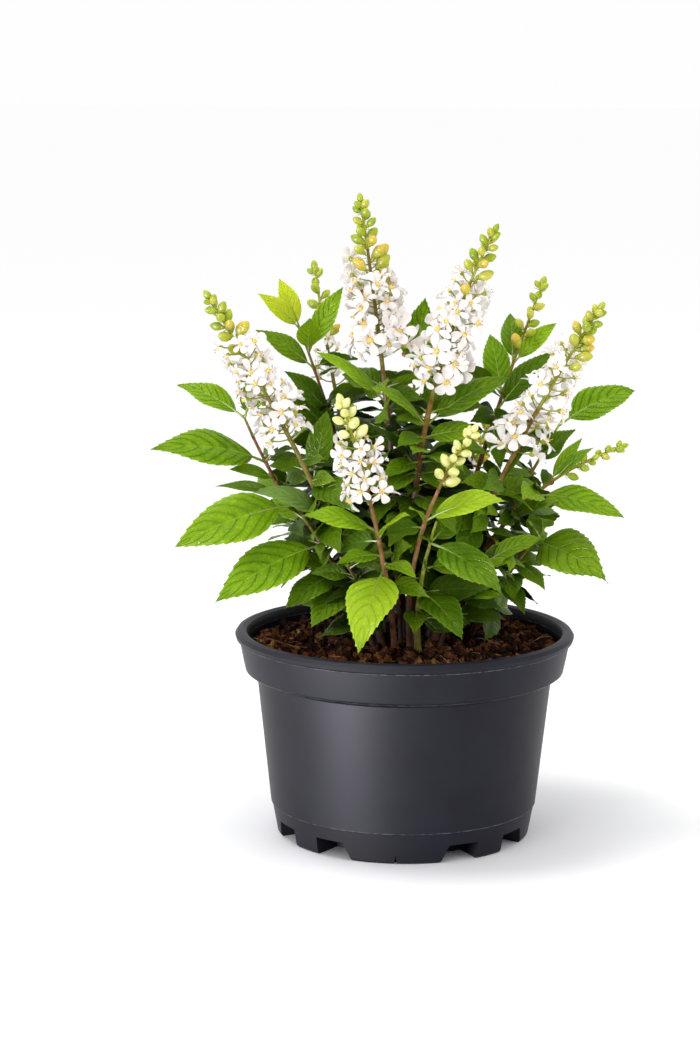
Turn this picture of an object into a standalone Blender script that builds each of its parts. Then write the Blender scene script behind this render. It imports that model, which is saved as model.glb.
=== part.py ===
"""Potted summersweet: a clump of upright flowering stems in a black nursery pot.

Lengths are in metres and +Z is up.  The origin is the centre of the pot's flat
underside, and the front of the plant looks along -Y.

The pot, the soil, the bare foot of each stem and each mass of foliage are
separate solids.  A mass is the upper part of one stem with its leaves, flowers
and buds fused on, and it stands GAP clear of the bare limb that carries it.
"""

import math
import random
from collections import namedtuple

import bmesh
import bpy
from mathutils import Vector
from mathutils.bvhtree import BVHTree

MM = 0.001
GAP = 0.3 * MM
UP = Vector((0, 0, 1))
FRONT = Vector((0, -1, 0))
BACK = Vector((0, 1, 0))
GOLDEN_ANGLE = math.radians(137.5)

# Pot
RIM_RADIUS = 112.5 * MM
POT_HEIGHT = 137.4 * MM
LIP_WIDTH = 8.6 * MM
LIP_DEPTH = 7.0 * MM
COLLAR_TOP_RADIUS = 109.6 * MM
COLLAR_RADIUS = 106.4 * MM
COLLAR_FOOT = 109.2 * MM
SHOULDER_RADIUS = 98.0 * MM
SHOULDER = 107.2 * MM
SEAM_RADIUS = 88.6 * MM
SEAM = 21.0 * MM
FOOT_RADIUS = 84.3 * MM
WALL = 2.2 * MM
FLOOR = 3.0 * MM
FEET_TOP = 15.0 * MM
FEET_INNER_RADIUS = 62.0 * MM
POT_SIDES = 40

# Drain notches between the feet: a wide foot, a notch, a narrow foot, a notch, four times round
NOTCH_HEIGHT = 12.0 * MM
NOTCH_WIDTH = 21.0 * MM
NOTCH_SLANT = 5.0 * MM
NOTCH_OFFSET = math.radians(30.5)
FEET_TURN = math.radians(-3)
SLIT_WIDTH = 3.2 * MM
SLIT_HEIGHT = 6.5 * MM
SLIT_DEPTH = 5.0 * MM

# Soil
SOIL_TOP = 126.0 * MM
SOIL_RADIUS = 102.2 * MM
SOIL_LUMP = 2.6 * MM
SOIL_LEVEL_RADIUS = 58.0 * MM
SOIL_RINGS = 5
SOIL_SIDES = 24

# Stems
LIMB_SIDES = 6
LIMB_RINGS = 4
TWIG_SIDES = 3
TWIG_RINGS = 7
TIP_RADIUS = 0.75 * MM
FLARE = 1.45
FLARE_SHARE = 0.08

# Leaves: each outline gives shares of the length with the width there, as a share of the leaf's width
LEAF_OUTLINE = ((0.13, 0.05), (0.36, 1.0), (0.70, 0.72))
PLAIN_OUTLINE = ((0.42, 1.0),)
LEAF_THICKNESS = 0.016
LEAF_FOLD = 0.16
LEAF_ARCH = 0.09
LEAF_BOW = 0.06
PETIOLE_RADIUS = 0.75 * MM
ROOT_RADIUS = 0.35 * MM
BLADE_START = 0.3

# Leaves grown by rule: their length and their rise over level change from a shoot's foot to its tip
FOOT_LENGTH = 56 * MM
LENGTH_LOSS = 18 * MM
LENGTH_RANGE = (0.78, 1.12)
LEAF_WIDTH = 0.44
FOOT_RISE = -34
RISE_GAIN = 66
RISE_SWAY = 14
BEARING_SWAY = 18
LEAN_RANGE = (35, 75)
PAIR_START = 0.3
PAIR_MARGIN = 0.02
RACEME_MARGIN = 0.03
LAST_PAIR = 0.97
TURN_TRIES = (0, 25, -25, 50, -50, 80)
TRY_SHRINK = 0.06
DEPTH_TRIES = (0, 5 * MM, -5 * MM, 10 * MM, -10 * MM, 16 * MM)
TEST_MARGIN = 0.9 * MM

# The space that the leaves grown by rule keep to, as an ellipsoid, and the floor under every leaf
CROWN_CENTRE = Vector((0, 34 * MM, 206 * MM))
CROWN_REACH = Vector((105 * MM, 104 * MM, 114 * MM))
LOWEST_LEAF = 133 * MM

# First numbers of the random draws, one of each for every shoot
FLOWER_SEED = 500
BUD_SEED = 700
LEAF_SEED = 900

# Flowers: how far they lean towards the tip, and their sizes as shares of their reach
FLOWER_RISE = 0.42
FLOWER_PLACE = 0.74
FLOWER_SIZE = 0.36
FLOWER_CROWN = 0.12
FLOWER_SHRINK = 0.25
CORE_SIDES = 7
CORE_OUTLINE = ((-0.03, 0), (0.10, 0.44), (0.65, 0.42), (1.02, 0.16), (1.12, 0))
FEWEST_FOR_CORE = 5

# Buds: their size and reach above the flowers, and what they lose of each up to the tip
BUD_SIZE = 9.6 * MM
BUD_REACH = 14.0 * MM
YOUNG_BUD_SIZE = 0.74
BUD_SHRINK = 0.30
BUD_REACH_SHRINK = 0.48
BUD_RISE = 0.75
BUD_BELLY = 0.42
LAST_BUD = 0.985

Raceme = namedtuple("Raceme", "flowers_from buds_from reach flowers buds")
Leaf = namedtuple("Leaf", "at tip width lean")
Shoot = namedtuple("Shoot", "name foot middle tip thick bare raceme pairs turn leaves")


def raceme(flowers_from, buds_from, reach, flowers=0, buds=9):
    """Where the flowers and the buds start along the shoot, and the reach in mm round its axis."""
    return Raceme(flowers_from, buds_from, reach * MM, flowers, buds)


def shoot(name, foot, middle, tip, thick, bare, top=None, pairs=4, turn=0, leaves=()):
    """Foot (x, y) in the soil, a point halfway up and the tip, in mm, with the leaves placed by hand.

    bare is the share of the shoot that is bare limb, pairs the number of leaf pairs grown by rule,
    and turn the bearing of the first pair in degrees.
    """
    placed = tuple(Leaf(at, Vector(end) * MM, width * MM, lean) for at, end, width, lean in leaves)
    foot_point = Vector((foot[0], foot[1], SOIL_TOP / MM)) * MM
    return Shoot(name, foot_point, Vector(middle) * MM, Vector(tip) * MM, thick * MM, bare, top,
                 pairs, turn, placed)


SHOOTS = (
    shoot("west", (-14, -8), (-64, -18, 243), (-127, -34, 359), 2.6, 0.24,
          raceme(0.59, 0.87, 22, 19, 8), 6, 20,
          [(0.37, (-96, -52, 238), 17, 45), (0.47, (-52, 0, 283), 17, 60)]),
    shoot("centre", (0, 6), (-12, 5, 275), (-31, 5, 419), 2.7, 0.24,
          raceme(0.64, 0.86, 25, 19, 9), 7, 70,
          [(0.54, (-60, -6, 322), 14, 30)]),
    shoot("mid_east", (8, -8), (11, -19, 267), (55, -30, 402), 2.7, 0.24,
          raceme(0.61, 0.88, 23, 19, 8), 7, 40,
          [(0.53, (67, -12, 308), 20, 40), (0.53, (-22, -38, 305), 14, 30),
           (0.42, (-18, -52, 232), 17, 30), (0.42, (-25, -42, 279), 13, 30),
           (0.50, (50, -26, 273), 17, 45)]),
    shoot("east", (18, -4), (63, -15, 242), (123, -29, 353), 2.6, 0.24,
          raceme(0.55, 0.87, 22, 18, 8), 6, 90,
          [(0.46, (80, -14, 262), 8, 20)]),
    shoot("back_east", (16, 16), (50, 35, 245), (91, 64, 362), 2.3, 0.30,
          raceme(0.79, 0.79, 12.5, 0, 8), 5, 100,
          [(0.77, (70, 74, 342), 15, 70), (0.77, (101, 60, 336), 12, 60),
           (0.68, (56, 60, 329), 18, 60), (0.64, (97, 40, 318), 18, 50),
           (0.60, (63, 16, 242), 13, 30)]),
    shoot("back_west", (-10, 18), (-40, 44, 250), (-63, 69, 371), 2.3, 0.30,
          raceme(0.67, 0.79, 17, 5, 6), 6, 60),
    shoot("leafy_back_west", (-15, 10), (-37, 22, 228), (-72, 35, 334), 2.0, 0.28, None, 5, 30,
          [(0.99, (-99, 28, 357), 12, 55), (0.99, (-86, 43, 366), 13, 65),
           (0.92, (-64, 14, 342), 16, 20), (0.92, (-43, 34, 361), 15, 60),
           (0.87, (-100, 20, 333), 15, 50), (0.72, (-80, 2, 308), 16, 50),
           (0.66, (-78, 8, 290), 20, 70)]),
    shoot("outer_west", (-21, 2), (-75, 2, 215), (-108, 15, 277), 2.2, 0.26, None, 5, 80,
          [(0.98, (-153, 25, 297), 18, 40), (0.73, (-163, -48, 263), 29, 48),
           (0.64, (-116, -14, 245), 12, 40), (0.57, (-126, 4, 231), 9, 40),
           (0.98, (-98, 32, 303), 18, 50)]),
    shoot("low_west", (-20, -12), (-46, -18, 181), (-74, -26, 226), 2.0, 0.24, None, 4, 10,
          [(0.97, (-148, -58, 201), 33, 58), (0.66, (-121, -72, 168), 33, 52),
           (0.46, (-77, -57, 161), 20, 40), (0.34, (-60, -60, 150), 22, 25)]),
    shoot("front_west", (-6, -22), (-18, -62, 213), (-41, -84, 299), 2.1, 0.22,
          raceme(0.61, 0.84, 20, 11, 6), 2, 0,
          [(0.50, (-65, -86, 227), 19, 35), (0.47, (2, -88, 229), 19, 30),
           (0.40, (-43, -80, 195), 14, 30), (0.35, (-30, -92, 140), 34, 0),
           (0.37, (7, -77, 186), 14, 20)]),
    shoot("front_east", (4, -20), (9, -50, 205), (42, -74, 280), 2.1, 0.24,
          raceme(0.75, 0.75, 12.5, 0, 9), 2, 50,
          [(0.59, (63, -82, 237), 21, 40), (0.58, (2, -77, 231), 9, 30)]),
    shoot("low_raceme", (27, 3), (67, 5, 209), (143, 10, 259), 2.0, 0.24,
          raceme(0.77, 0.77, 10, 0, 8), 4, 90,
          [(0.64, (143, -17, 217), 21, 45), (0.50, (101, -18, 226), 12, 40),
           (0.71, (117, 20, 263), 9, 50), (0.74, (123, -2, 260), 9, 40)]),
    shoot("leafy_east", (27, 14), (64, 28, 200), (105, 45, 272), 2.0, 0.24, None, 5, 60,
          [(0.97, (156, 66, 291), 25, 45), (0.80, (112, 28, 268), 17, 45),
           (0.62, (55, 18, 282), 18, 65)]),
    shoot("low_east", (45, 28), (65, 16, 165), (94, 6, 207), 1.9, 0.22, None, 4, 120,
          [(0.86, (131, -42, 179), 36, 50), (0.66, (92, -22, 169), 13, 30),
           (0.50, (79, -18, 152), 14, 20), (0.56, (71, -32, 165), 16, 25),
           (0.95, (89, -14, 215), 15, 40)]),
    shoot("green_front", (9, -27), (10, -42, 172), (20, -50, 218), 2.4, 0.20, None, 4, 40,
          [(0.84, (62, -88, 178), 28, 30), (0.48, (37, -86, 149), 26, 10),
           (0.34, (6, -62, 147), 16, 0)]),
    shoot("north", (4, 22), (5, 42, 216), (5, 58, 306), 2.2, 0.26, None, 8, 0,
          [(0.98, (12, 52, 353), 25, 75)]),
    shoot("back_spire_west", (-8, 30), (-18, 68, 205), (-40, 112, 272), 2.1, 0.26,
          raceme(0.62, 0.82, 18, 9, 5), 5, 80),
    shoot("back_spire_east", (16, 34), (30, 68, 200), (58, 108, 260), 2.1, 0.26,
          raceme(0.62, 0.80, 18, 8, 5), 5, 10),
    shoot("back_leafy", (3, 38), (8, 76, 190), (14, 118, 236), 2.0, 0.24, None, 6, 45),
    shoot("back_low_west", (-24, 20), (-56, 42, 185), (-86, 62, 232), 2.0, 0.24, None, 6, 20),
    shoot("inner_west", (-13, -15), (-27, -29, 166), (-42, -40, 192), 1.8, 0.20, None, 4, 15),
    shoot("inner_front", (-2, -12), (-5, -27, 168), (-10, -38, 198), 1.8, 0.20, None, 4, 75),
    shoot("inner_east", (23, -16), (36, -28, 166), (54, -38, 190), 1.8, 0.20, None, 4, 40,
          [(0.97, (89, -36, 206), 14, 40)]),
    shoot("inner_back", (20, 26), (24, 34, 166), (30, 44, 196), 1.8, 0.20, None, 4, 0),
    shoot("back_low_east", (32, 26), (68, 50, 185), (98, 76, 226), 2.0, 0.24, None, 6, 70),
)


def clear_scene():
    for obj in list(bpy.data.objects):
        bpy.data.objects.remove(obj, do_unlink=True)


def material(name, colour, roughness):
    mat = bpy.data.materials.new(name)
    mat.use_nodes = True
    shader = mat.node_tree.nodes["Principled BSDF"]
    shader.inputs["Base Color"].default_value = (*colour, 1)
    shader.inputs["Roughness"].default_value = roughness
    shader.inputs["Metallic"].default_value = 0.0
    mat.diffuse_color = (*colour, 1)
    return mat


def mesh_object(name, verts, faces, mat):
    """A closed mesh object with its faces turned outward."""
    mesh = bpy.data.meshes.new(name)
    mesh.from_pydata([tuple(v) for v in verts], [], faces)
    bm = bmesh.new()
    bm.from_mesh(mesh)
    bmesh.ops.recalc_face_normals(bm, faces=bm.faces)
    bm.to_mesh(mesh)
    bm.free()
    mesh.materials.append(mat)
    obj = bpy.data.objects.new(name, mesh)
    bpy.context.scene.collection.objects.link(obj)
    return obj


# Closed skins over rings of points

def bridge(faces, a, b):
    """Faces between two rings of point numbers, which may differ in count or be a single point."""
    if len(a) == 1:
        faces += [(a[0], b[(i + 1) % len(b)], b[i]) for i in range(len(b))]
        return
    if len(b) == 1:
        faces += [(a[i], a[(i + 1) % len(a)], b[0]) for i in range(len(a))]
        return
    i = j = 0
    while i < len(a) or j < len(b):
        if j == len(b) or (i < len(a) and (i + 1) * len(b) <= (j + 1) * len(a)):
            faces.append((a[i], a[(i + 1) % len(a)], b[j % len(b)]))
            i += 1
        else:
            faces.append((a[i % len(a)], b[(j + 1) % len(b)], b[j]))
            j += 1


def skin(rings):
    """Vertices and faces of a closed skin over rings; the first is capped and the last may be a point."""
    verts, faces, last = [], [], None
    for ring in rings:
        numbers = list(range(len(verts), len(verts) + len(ring)))
        verts += ring
        if last is None and len(numbers) > 1:
            faces.append(tuple(reversed(numbers)))
        elif last is not None:
            bridge(faces, last, numbers)
        last = numbers
    if len(last) > 1:
        faces.append(tuple(last))
    return verts, faces


def circle(centre, side, other, radius, count, turn=0.0):
    angles = [turn + 2 * math.pi * k / count for k in range(count)]
    return [centre + side * (radius * math.cos(a)) + other * (radius * math.sin(a)) for a in angles]


def across(axis, hint=UP):
    """Two unit vectors square to the axis and to each other."""
    side = axis.cross(hint)
    if side.length < 1e-4:
        side = axis.cross(Vector((1, 0, 0)))
    side.normalize()
    return side, side.cross(axis).normalized()


# The course of a shoot

def along(sh, t):
    """The point at share t of a shoot: one smooth curve through its foot, middle and tip."""
    control = 2 * sh.middle - (sh.foot + sh.tip) / 2
    return (1 - t) ** 2 * sh.foot + 2 * t * (1 - t) * control + t ** 2 * sh.tip


def heading(sh, t):
    control = 2 * sh.middle - (sh.foot + sh.tip) / 2
    return (2 * (1 - t) * (control - sh.foot) + 2 * t * (sh.tip - control)).normalized()


def shoot_length(sh):
    steps = 24
    return sum((along(sh, (k + 1) / steps) - along(sh, k / steps)).length for k in range(steps))


def radius_at(sh, t):
    """True taper from the foot to the tip, with a short flare at the soil."""
    flare = 1 + (FLARE - 1) * max(0.0, 1 - t / FLARE_SHARE) ** 2
    return (sh.thick * (1 - t) + TIP_RADIUS * t) * flare


def limb_skin(sh):
    """The bare foot of a shoot: a flat level cut at the soil, up to just under its foliage."""
    top = sh.bare - GAP / 2 / shoot_length(sh)
    rings = []
    for k in range(LIMB_RINGS):
        t = top * (k / (LIMB_RINGS - 1)) ** 1.4
        axis = heading(sh, t)
        side, other = across(axis, FRONT)
        ring = circle(along(sh, t), side, other, radius_at(sh, t), LIMB_SIDES)
        if k == 0:
            ring = [Vector((p.x, p.y, SOIL_TOP + GAP)) for p in ring]
        rings.append(ring)
    return skin(rings)


def twig_skin(sh):
    """The upper part of a shoot, which its leaves and flowers stand on."""
    start = sh.bare + GAP / 2 / shoot_length(sh)
    rings = []
    for k in range(TWIG_RINGS):
        t = start + (1 - start) * k / (TWIG_RINGS - 1)
        side, other = across(heading(sh, t), FRONT)
        rings.append(circle(along(sh, t), side, other, radius_at(sh, t), TWIG_SIDES))
    return skin(rings)


# Leaves

def leaf_face(base, tip, lean, towards):
    """The way a blade's upper face looks: up, leaning by lean degrees towards a side."""
    chord = (tip - base).normalized()
    angle = math.radians(lean)
    wish = UP * math.cos(angle) + towards * math.sin(angle)
    face = wish - chord * wish.dot(chord)
    if face.length < 0.05:
        face = towards - chord * towards.dot(chord)
    return face.normalized()


def leaf_course(base, tip, face, share):
    """The point of a leaf's midrib at a share of its length, and the way it runs there.

    The midrib arches towards the upper face and bows upward.
    """
    control = (base + tip) / 2 + (face * LEAF_ARCH + UP * LEAF_BOW) * (tip - base).length
    point = (1 - share) ** 2 * base + 2 * share * (1 - share) * control + share ** 2 * tip
    return point, ((1 - share) * (control - base) + share * (tip - control)).normalized()


def leaf_skin(base, tip, width, face, start=0.0, margin=0.0, outline=LEAF_OUTLINE):
    """A folded, arching blade on its stalk, from share start of its length to the tip."""
    length = (tip - base).length
    rings = []
    if start == 0:
        axis = leaf_course(base, tip, face, 0)[1]
        rings.append(circle(base, axis.cross(face).normalized(), face, ROOT_RADIUS + margin, 3))
    for share, spread in outline:
        if share < start:
            continue
        centre, axis = leaf_course(base, tip, face, share)
        normal = (face - axis * face.dot(axis)).normalized()
        side = axis.cross(normal)
        half = max(spread * width / 2, PETIOLE_RADIUS) + margin
        thick = max(LEAF_THICKNESS * length * (0.5 + spread / 2), PETIOLE_RADIUS * 1.6) / 2 + margin
        lift = normal * (LEAF_FOLD * half)
        if len(outline) == 1:
            rings.append([centre + side * half, centre - side * half, centre - normal * (2 * thick)])
        else:
            rings.append([centre + side * half + lift, centre + normal * thick,
                          centre - side * half + lift, centre - normal * thick])
    rings.append([tip + (tip - base).normalized() * margin])
    return skin(rings)


def rule_leaves(sh, seed):
    """Opposite pairs of leaves, each pair square to the last, from the foliage's foot upwards.

    Each leaf is a list of tries, turned further round the stem where the first has no room.
    """
    dice = random.Random(seed)
    foot = sh.bare + PAIR_MARGIN
    top = sh.raceme.flowers_from - RACEME_MARGIN if sh.raceme else LAST_PAIR
    leaves = []
    for k in range(sh.pairs):
        at = foot + (top - foot) * (k + PAIR_START) / sh.pairs
        base = along(sh, at)
        for half in (0, 1):
            bearing = sh.turn + 90 * k + 180 * half + dice.uniform(-BEARING_SWAY, BEARING_SWAY)
            rise = math.radians(FOOT_RISE + RISE_GAIN * at + dice.uniform(-RISE_SWAY, RISE_SWAY))
            length = (FOOT_LENGTH - LENGTH_LOSS * at) * dice.uniform(*LENGTH_RANGE)
            lean = dice.uniform(*LEAN_RANGE)
            tries = []
            for number, turn in enumerate(TURN_TRIES):
                angle = math.radians(bearing + turn)
                flat = Vector((math.sin(angle), -math.cos(angle), 0)) * math.cos(rise)
                size = length * (1 - TRY_SHRINK * number)
                tip = base + (flat + UP * math.sin(rise)) * size
                tries.append(Leaf(at, tip, size * LEAF_WIDTH, lean))
            leaves.append(tries)
    return leaves


def in_crown(point):
    share = [(point[i] - CROWN_CENTRE[i]) / CROWN_REACH[i] for i in range(3)]
    return sum(s * s for s in share) < 1


# Flowers and buds

def raceme_sites(sh, start, end, count, seed):
    """Points round the axis by the golden angle, with the way each stalk leaves it."""
    dice = random.Random(seed)
    for k in range(count):
        t = start + (end - start) * (k + 0.5) / count
        axis = heading(sh, t)
        side, other = across(axis, FRONT)
        angle = k * GOLDEN_ANGLE + dice.uniform(-0.3, 0.3)
        out = side * math.cos(angle) + other * math.sin(angle)
        yield along(sh, t), axis, out, (k + 0.5) / count


def has_core(sh):
    return sh.raceme is not None and sh.raceme.flowers >= FEWEST_FOR_CORE


def core_skin(sh):
    """The dense middle of a raceme in flower, which its flowers stand out of."""
    top = sh.raceme
    rings = []
    for share, spread in CORE_OUTLINE:
        t = top.flowers_from + (top.buds_from - top.flowers_from) * share
        side, other = across(heading(sh, t), FRONT)
        if spread == 0:
            rings.append([along(sh, t)])
        else:
            rings.append(circle(along(sh, t), side, other, top.reach * spread, CORE_SIDES))
    return skin(rings)


def flower_skin(root, axis, out, reach, margin=0.0):
    """An open flower as a five-sided funnel that stands out of the raceme's middle."""
    way = (out + axis * FLOWER_RISE).normalized()
    side, other = across(way)
    centre = root + way * (reach * FLOWER_PLACE)
    size = reach * FLOWER_SIZE + margin
    petals = circle(centre, side, other, size, 5)
    return skin([[root], petals, [centre + way * (size * FLOWER_CROWN + margin)]])


def bud_measures(top, share):
    """The size of a bud and its reach, at a share of the way up the buds of a raceme."""
    size = BUD_SIZE if top.flowers else top.reach * YOUNG_BUD_SIZE
    reach = BUD_REACH if top.flowers else top.reach
    return size * (1 - BUD_SHRINK * share), reach * (1 - BUD_REACH_SHRINK * share)


def bud_skin(root, axis, out, reach, size, margin=0.0):
    """A bud on a stalk that thins towards its root."""
    way = (out + axis * BUD_RISE).normalized()
    side, other = across(way)
    belly = root + way * (reach - size / 2)
    return skin([[root], circle(belly, side, other, size * BUD_BELLY + margin, 3),
                 [root + way * (reach + margin)]])


def end_bud(sh):
    """The bud that ends a raceme, straight on from its stem."""
    axis = heading(sh, 1)
    size = bud_measures(sh.raceme, 1)[0]
    return bud_skin(sh.tip - axis * (size / 4), axis, axis, size, size)


# What is already in place, so that nothing grows through it

class Taken:
    """The pieces placed so far, each with the name of the mass it belongs to."""

    def __init__(self):
        self.pieces = []

    def add(self, owner, skin_parts):
        verts, faces = skin_parts
        low = [min(v[i] for v in verts) for i in range(3)]
        high = [max(v[i] for v in verts) for i in range(3)]
        self.pieces.append((owner, low, high, BVHTree.FromPolygons(verts, faces)))

    def touches(self, owner, skin_parts, own=False):
        """True where a skin crosses a piece of another owner or, with own, of the same one."""
        verts, faces = skin_parts
        low = [min(v[i] for v in verts) for i in range(3)]
        high = [max(v[i] for v in verts) for i in range(3)]
        tree = BVHTree.FromPolygons(verts, faces)
        for name, box_low, box_high, other in self.pieces:
            if (name == owner) != own:
                continue
            if any(low[i] > box_high[i] or high[i] < box_low[i] for i in range(3)):
                continue
            if tree.overlap(other):
                return True
        return False


def grow_raceme(sh, number, taken, blades):
    """The skins of a raceme's flowers and buds that have room."""
    parts = []
    top = sh.raceme
    if top is None:
        return parts
    sites = raceme_sites(sh, top.flowers_from, top.buds_from, top.flowers, FLOWER_SEED + number)
    for root, axis, out, share in sites:
        reach = top.reach * (1 - FLOWER_SHRINK * share)
        guard = flower_skin(root, axis, out, reach, TEST_MARGIN)
        if taken.touches(sh.name, guard) or blades.touches(sh.name, guard, own=True):
            continue
        part = flower_skin(root, axis, out, reach)
        taken.add(sh.name, part)
        blades.add(sh.name, part)
        parts.append(part)
    for root, axis, out, share in raceme_sites(sh, top.buds_from, LAST_BUD, top.buds, BUD_SEED + number):
        size, reach = bud_measures(top, share)
        guard = bud_skin(root, axis, out, reach, size, TEST_MARGIN)
        if taken.touches(sh.name, guard) or blades.touches(sh.name, guard, own=True):
            continue
        part = bud_skin(root, axis, out, reach, size)
        taken.add(sh.name, part)
        blades.add(sh.name, part)
        parts.append(part)
    return parts


def grow_leaf(sh, leaf, towards, taken, blades, outline=LEAF_OUTLINE):
    """The skin of one leaf, or None where it has no room."""
    base = along(sh, leaf.at)
    face = leaf_face(base, leaf.tip, leaf.lean, towards)
    guard = leaf_skin(base, leaf.tip, leaf.width, face, 0, TEST_MARGIN, outline)
    if min(v.z for v in guard[0]) < LOWEST_LEAF or taken.touches(sh.name, guard):
        return None
    guard = leaf_skin(base, leaf.tip, leaf.width, face, BLADE_START, TEST_MARGIN, outline)
    if blades.touches(sh.name, guard, own=True):
        return None
    part = leaf_skin(base, leaf.tip, leaf.width, face, outline=outline)
    taken.add(sh.name, part)
    blades.add(sh.name, leaf_skin(base, leaf.tip, leaf.width, face, BLADE_START, outline=outline))
    return part


def grow_plant():
    """The skins of every mass: stems first, then flowers, the leaves placed by hand, and the rest."""
    taken, blades = Taken(), Taken()
    parts = {sh.name: [] for sh in SHOOTS}
    for sh in SHOOTS:
        taken.add("limb", limb_skin(sh))
        taken.add(sh.name, twig_skin(sh))
        if has_core(sh):
            taken.add(sh.name, core_skin(sh))
            parts[sh.name].append(core_skin(sh))
        if sh.raceme:
            taken.add(sh.name, end_bud(sh))
            parts[sh.name].append(end_bud(sh))
    for sh in SHOOTS:
        for leaf in sh.leaves:
            tries = [leaf._replace(tip=leaf.tip + BACK * shift) for shift in DEPTH_TRIES]
            grow_first(sh, tries, lambda leaf: FRONT, parts, taken, blades)
    for number, sh in enumerate(SHOOTS):
        parts[sh.name] += grow_raceme(sh, number, taken, blades)
    for number, sh in enumerate(SHOOTS):
        for tries in rule_leaves(sh, LEAF_SEED + number):
            tries = [leaf for leaf in tries if in_crown(leaf.tip)]
            grow_first(sh, tries, lambda leaf: outward(sh, leaf), parts, taken, blades, PLAIN_OUTLINE)
    return parts


def outward(sh, leaf):
    middle = (along(sh, leaf.at) + leaf.tip) / 2
    return Vector((middle.x, middle.y, 0)).normalized()


def grow_first(sh, tries, towards, parts, taken, blades, outline=LEAF_OUTLINE):
    """Keep the first of several leaves that has room, if any has."""
    for leaf in tries:
        part = grow_leaf(sh, leaf, towards(leaf), taken, blades, outline)
        if part:
            parts[sh.name].append(part)
            return


def fuse(body, pieces, mat):
    """One Boolean union of the body with all its pieces, applied; the pieces are then removed."""
    group = bpy.data.collections.new(body.name + "_pieces")
    bpy.context.scene.collection.children.link(group)
    for number, (verts, faces) in enumerate(pieces):
        piece = mesh_object(f"{body.name}_piece_{number}", verts, faces, mat)
        bpy.context.scene.collection.objects.unlink(piece)
        group.objects.link(piece)
    union = body.modifiers.new("union", "BOOLEAN")
    union.operation = "UNION"
    union.operand_type = "COLLECTION"
    union.collection = group
    union.solver = "EXACT"
    union.use_self = False
    apply_modifiers(body)
    for piece in list(group.objects):
        bpy.data.objects.remove(piece, do_unlink=True)
    bpy.data.collections.remove(group)


def apply_modifiers(obj):
    bpy.context.view_layer.update()
    graph = bpy.context.evaluated_depsgraph_get()
    mesh = bpy.data.meshes.new_from_object(obj.evaluated_get(graph))
    obj.modifiers.clear()
    obj.data = mesh


def make_plant():
    wood = material("bark", (0.20, 0.085, 0.045), 0.6)
    green = material("foliage", (0.10, 0.27, 0.03), 0.5)
    parts = grow_plant()
    for sh in SHOOTS:
        mesh_object("stem_" + sh.name, *limb_skin(sh), wood)
        mass = mesh_object("foliage_" + sh.name, *twig_skin(sh), green)
        fuse(mass, parts[sh.name], green)


# Pot and soil

def turned(profile, sides):
    """A closed solid of revolution about Z; the profile runs from axis to axis."""
    rings = []
    for radius, height in profile:
        centre = Vector((0, 0, height))
        if radius == 0:
            rings.append([centre])
        else:
            rings.append(circle(centre, Vector((1, 0, 0)), Vector((0, 1, 0)), radius, sides))
    verts, faces = list(rings[0]), []
    last = [0]
    for ring in rings[1:]:
        numbers = list(range(len(verts), len(verts) + len(ring)))
        verts += ring
        if len(last) == 1:
            faces += [(last[0], numbers[(i + 1) % sides], numbers[i]) for i in range(sides)]
        elif len(numbers) == 1:
            faces += [(numbers[0], last[i], last[(i + 1) % sides]) for i in range(sides)]
        else:
            faces += [(last[i], last[(i + 1) % sides], numbers[(i + 1) % sides], numbers[i])
                      for i in range(sides)]
        last = numbers
    return verts, faces


def pot_profile():
    """From the middle of the underside, up the outside, over the lip and down inside to the floor."""
    lip_inner = RIM_RADIUS - LIP_WIDTH
    lip_foot = POT_HEIGHT - LIP_DEPTH
    outside = [(0, 0), (FOOT_RADIUS - 1.5 * MM, 0), (FOOT_RADIUS, 1.5 * MM),
               (SEAM_RADIUS - 0.8 * MM, SEAM - 0.6 * MM), (SEAM_RADIUS, SEAM),
               (SHOULDER_RADIUS, SHOULDER), (COLLAR_RADIUS - 3.0 * MM, COLLAR_FOOT),
               (COLLAR_RADIUS - 0.8 * MM, COLLAR_FOOT + 1.6 * MM),
               (COLLAR_RADIUS, COLLAR_FOOT + 5 * MM), (COLLAR_TOP_RADIUS, lip_foot)]
    middle_radius = RIM_RADIUS - LIP_WIDTH / 2
    lip = []
    for k in range(6):
        angle = math.radians(-35 + 215 * k / 5)
        lip.append((middle_radius + math.cos(angle) * LIP_WIDTH / 2,
                    POT_HEIGHT - LIP_DEPTH * 0.52 + math.sin(angle) * LIP_DEPTH * 0.52))
    inside = [(lip_inner + 0.2 * MM, lip_foot - 1.0 * MM),
              (COLLAR_RADIUS - WALL * 1.4, COLLAR_FOOT + 2 * MM),
              (SHOULDER_RADIUS - WALL, SHOULDER - 2.5 * MM),
              (SEAM_RADIUS - WALL, FEET_TOP + 3 * MM), (SEAM_RADIUS - WALL - 2 * MM, FEET_TOP),
              (FEET_INNER_RADIUS, FEET_TOP), (FEET_INNER_RADIUS - 3 * MM, FLOOR), (0, FLOOR)]
    return outside + lip + inside


def radial_cutter(name, angle, outline, inner, outer):
    """A prism with an outline across the radius, running outward at the given bearing."""
    out = Vector((math.sin(angle), -math.cos(angle), 0))
    side = Vector((math.cos(angle), math.sin(angle), 0))
    near = [out * inner + side * u + UP * v for u, v in outline]
    far = [out * outer + side * u + UP * v for u, v in outline]
    verts, faces = skin([near, far])
    cutter = mesh_object(name, verts, faces, bpy.data.materials["pot_plastic"])
    cutter.hide_render = True
    cutter.display_type = "WIRE"
    return cutter


def notch_outline(slant_side):
    """Upright on the narrow foot's side and slanting on the wide foot's side."""
    half = NOTCH_WIDTH / 2
    below = -3 * MM
    slope = NOTCH_SLANT * (NOTCH_HEIGHT - below) / NOTCH_HEIGHT
    outline = [(-half, below), (-half, NOTCH_HEIGHT), (half, NOTCH_HEIGHT), (half + slope, below)]
    return [(u * slant_side, v) for u, v in outline]


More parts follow.
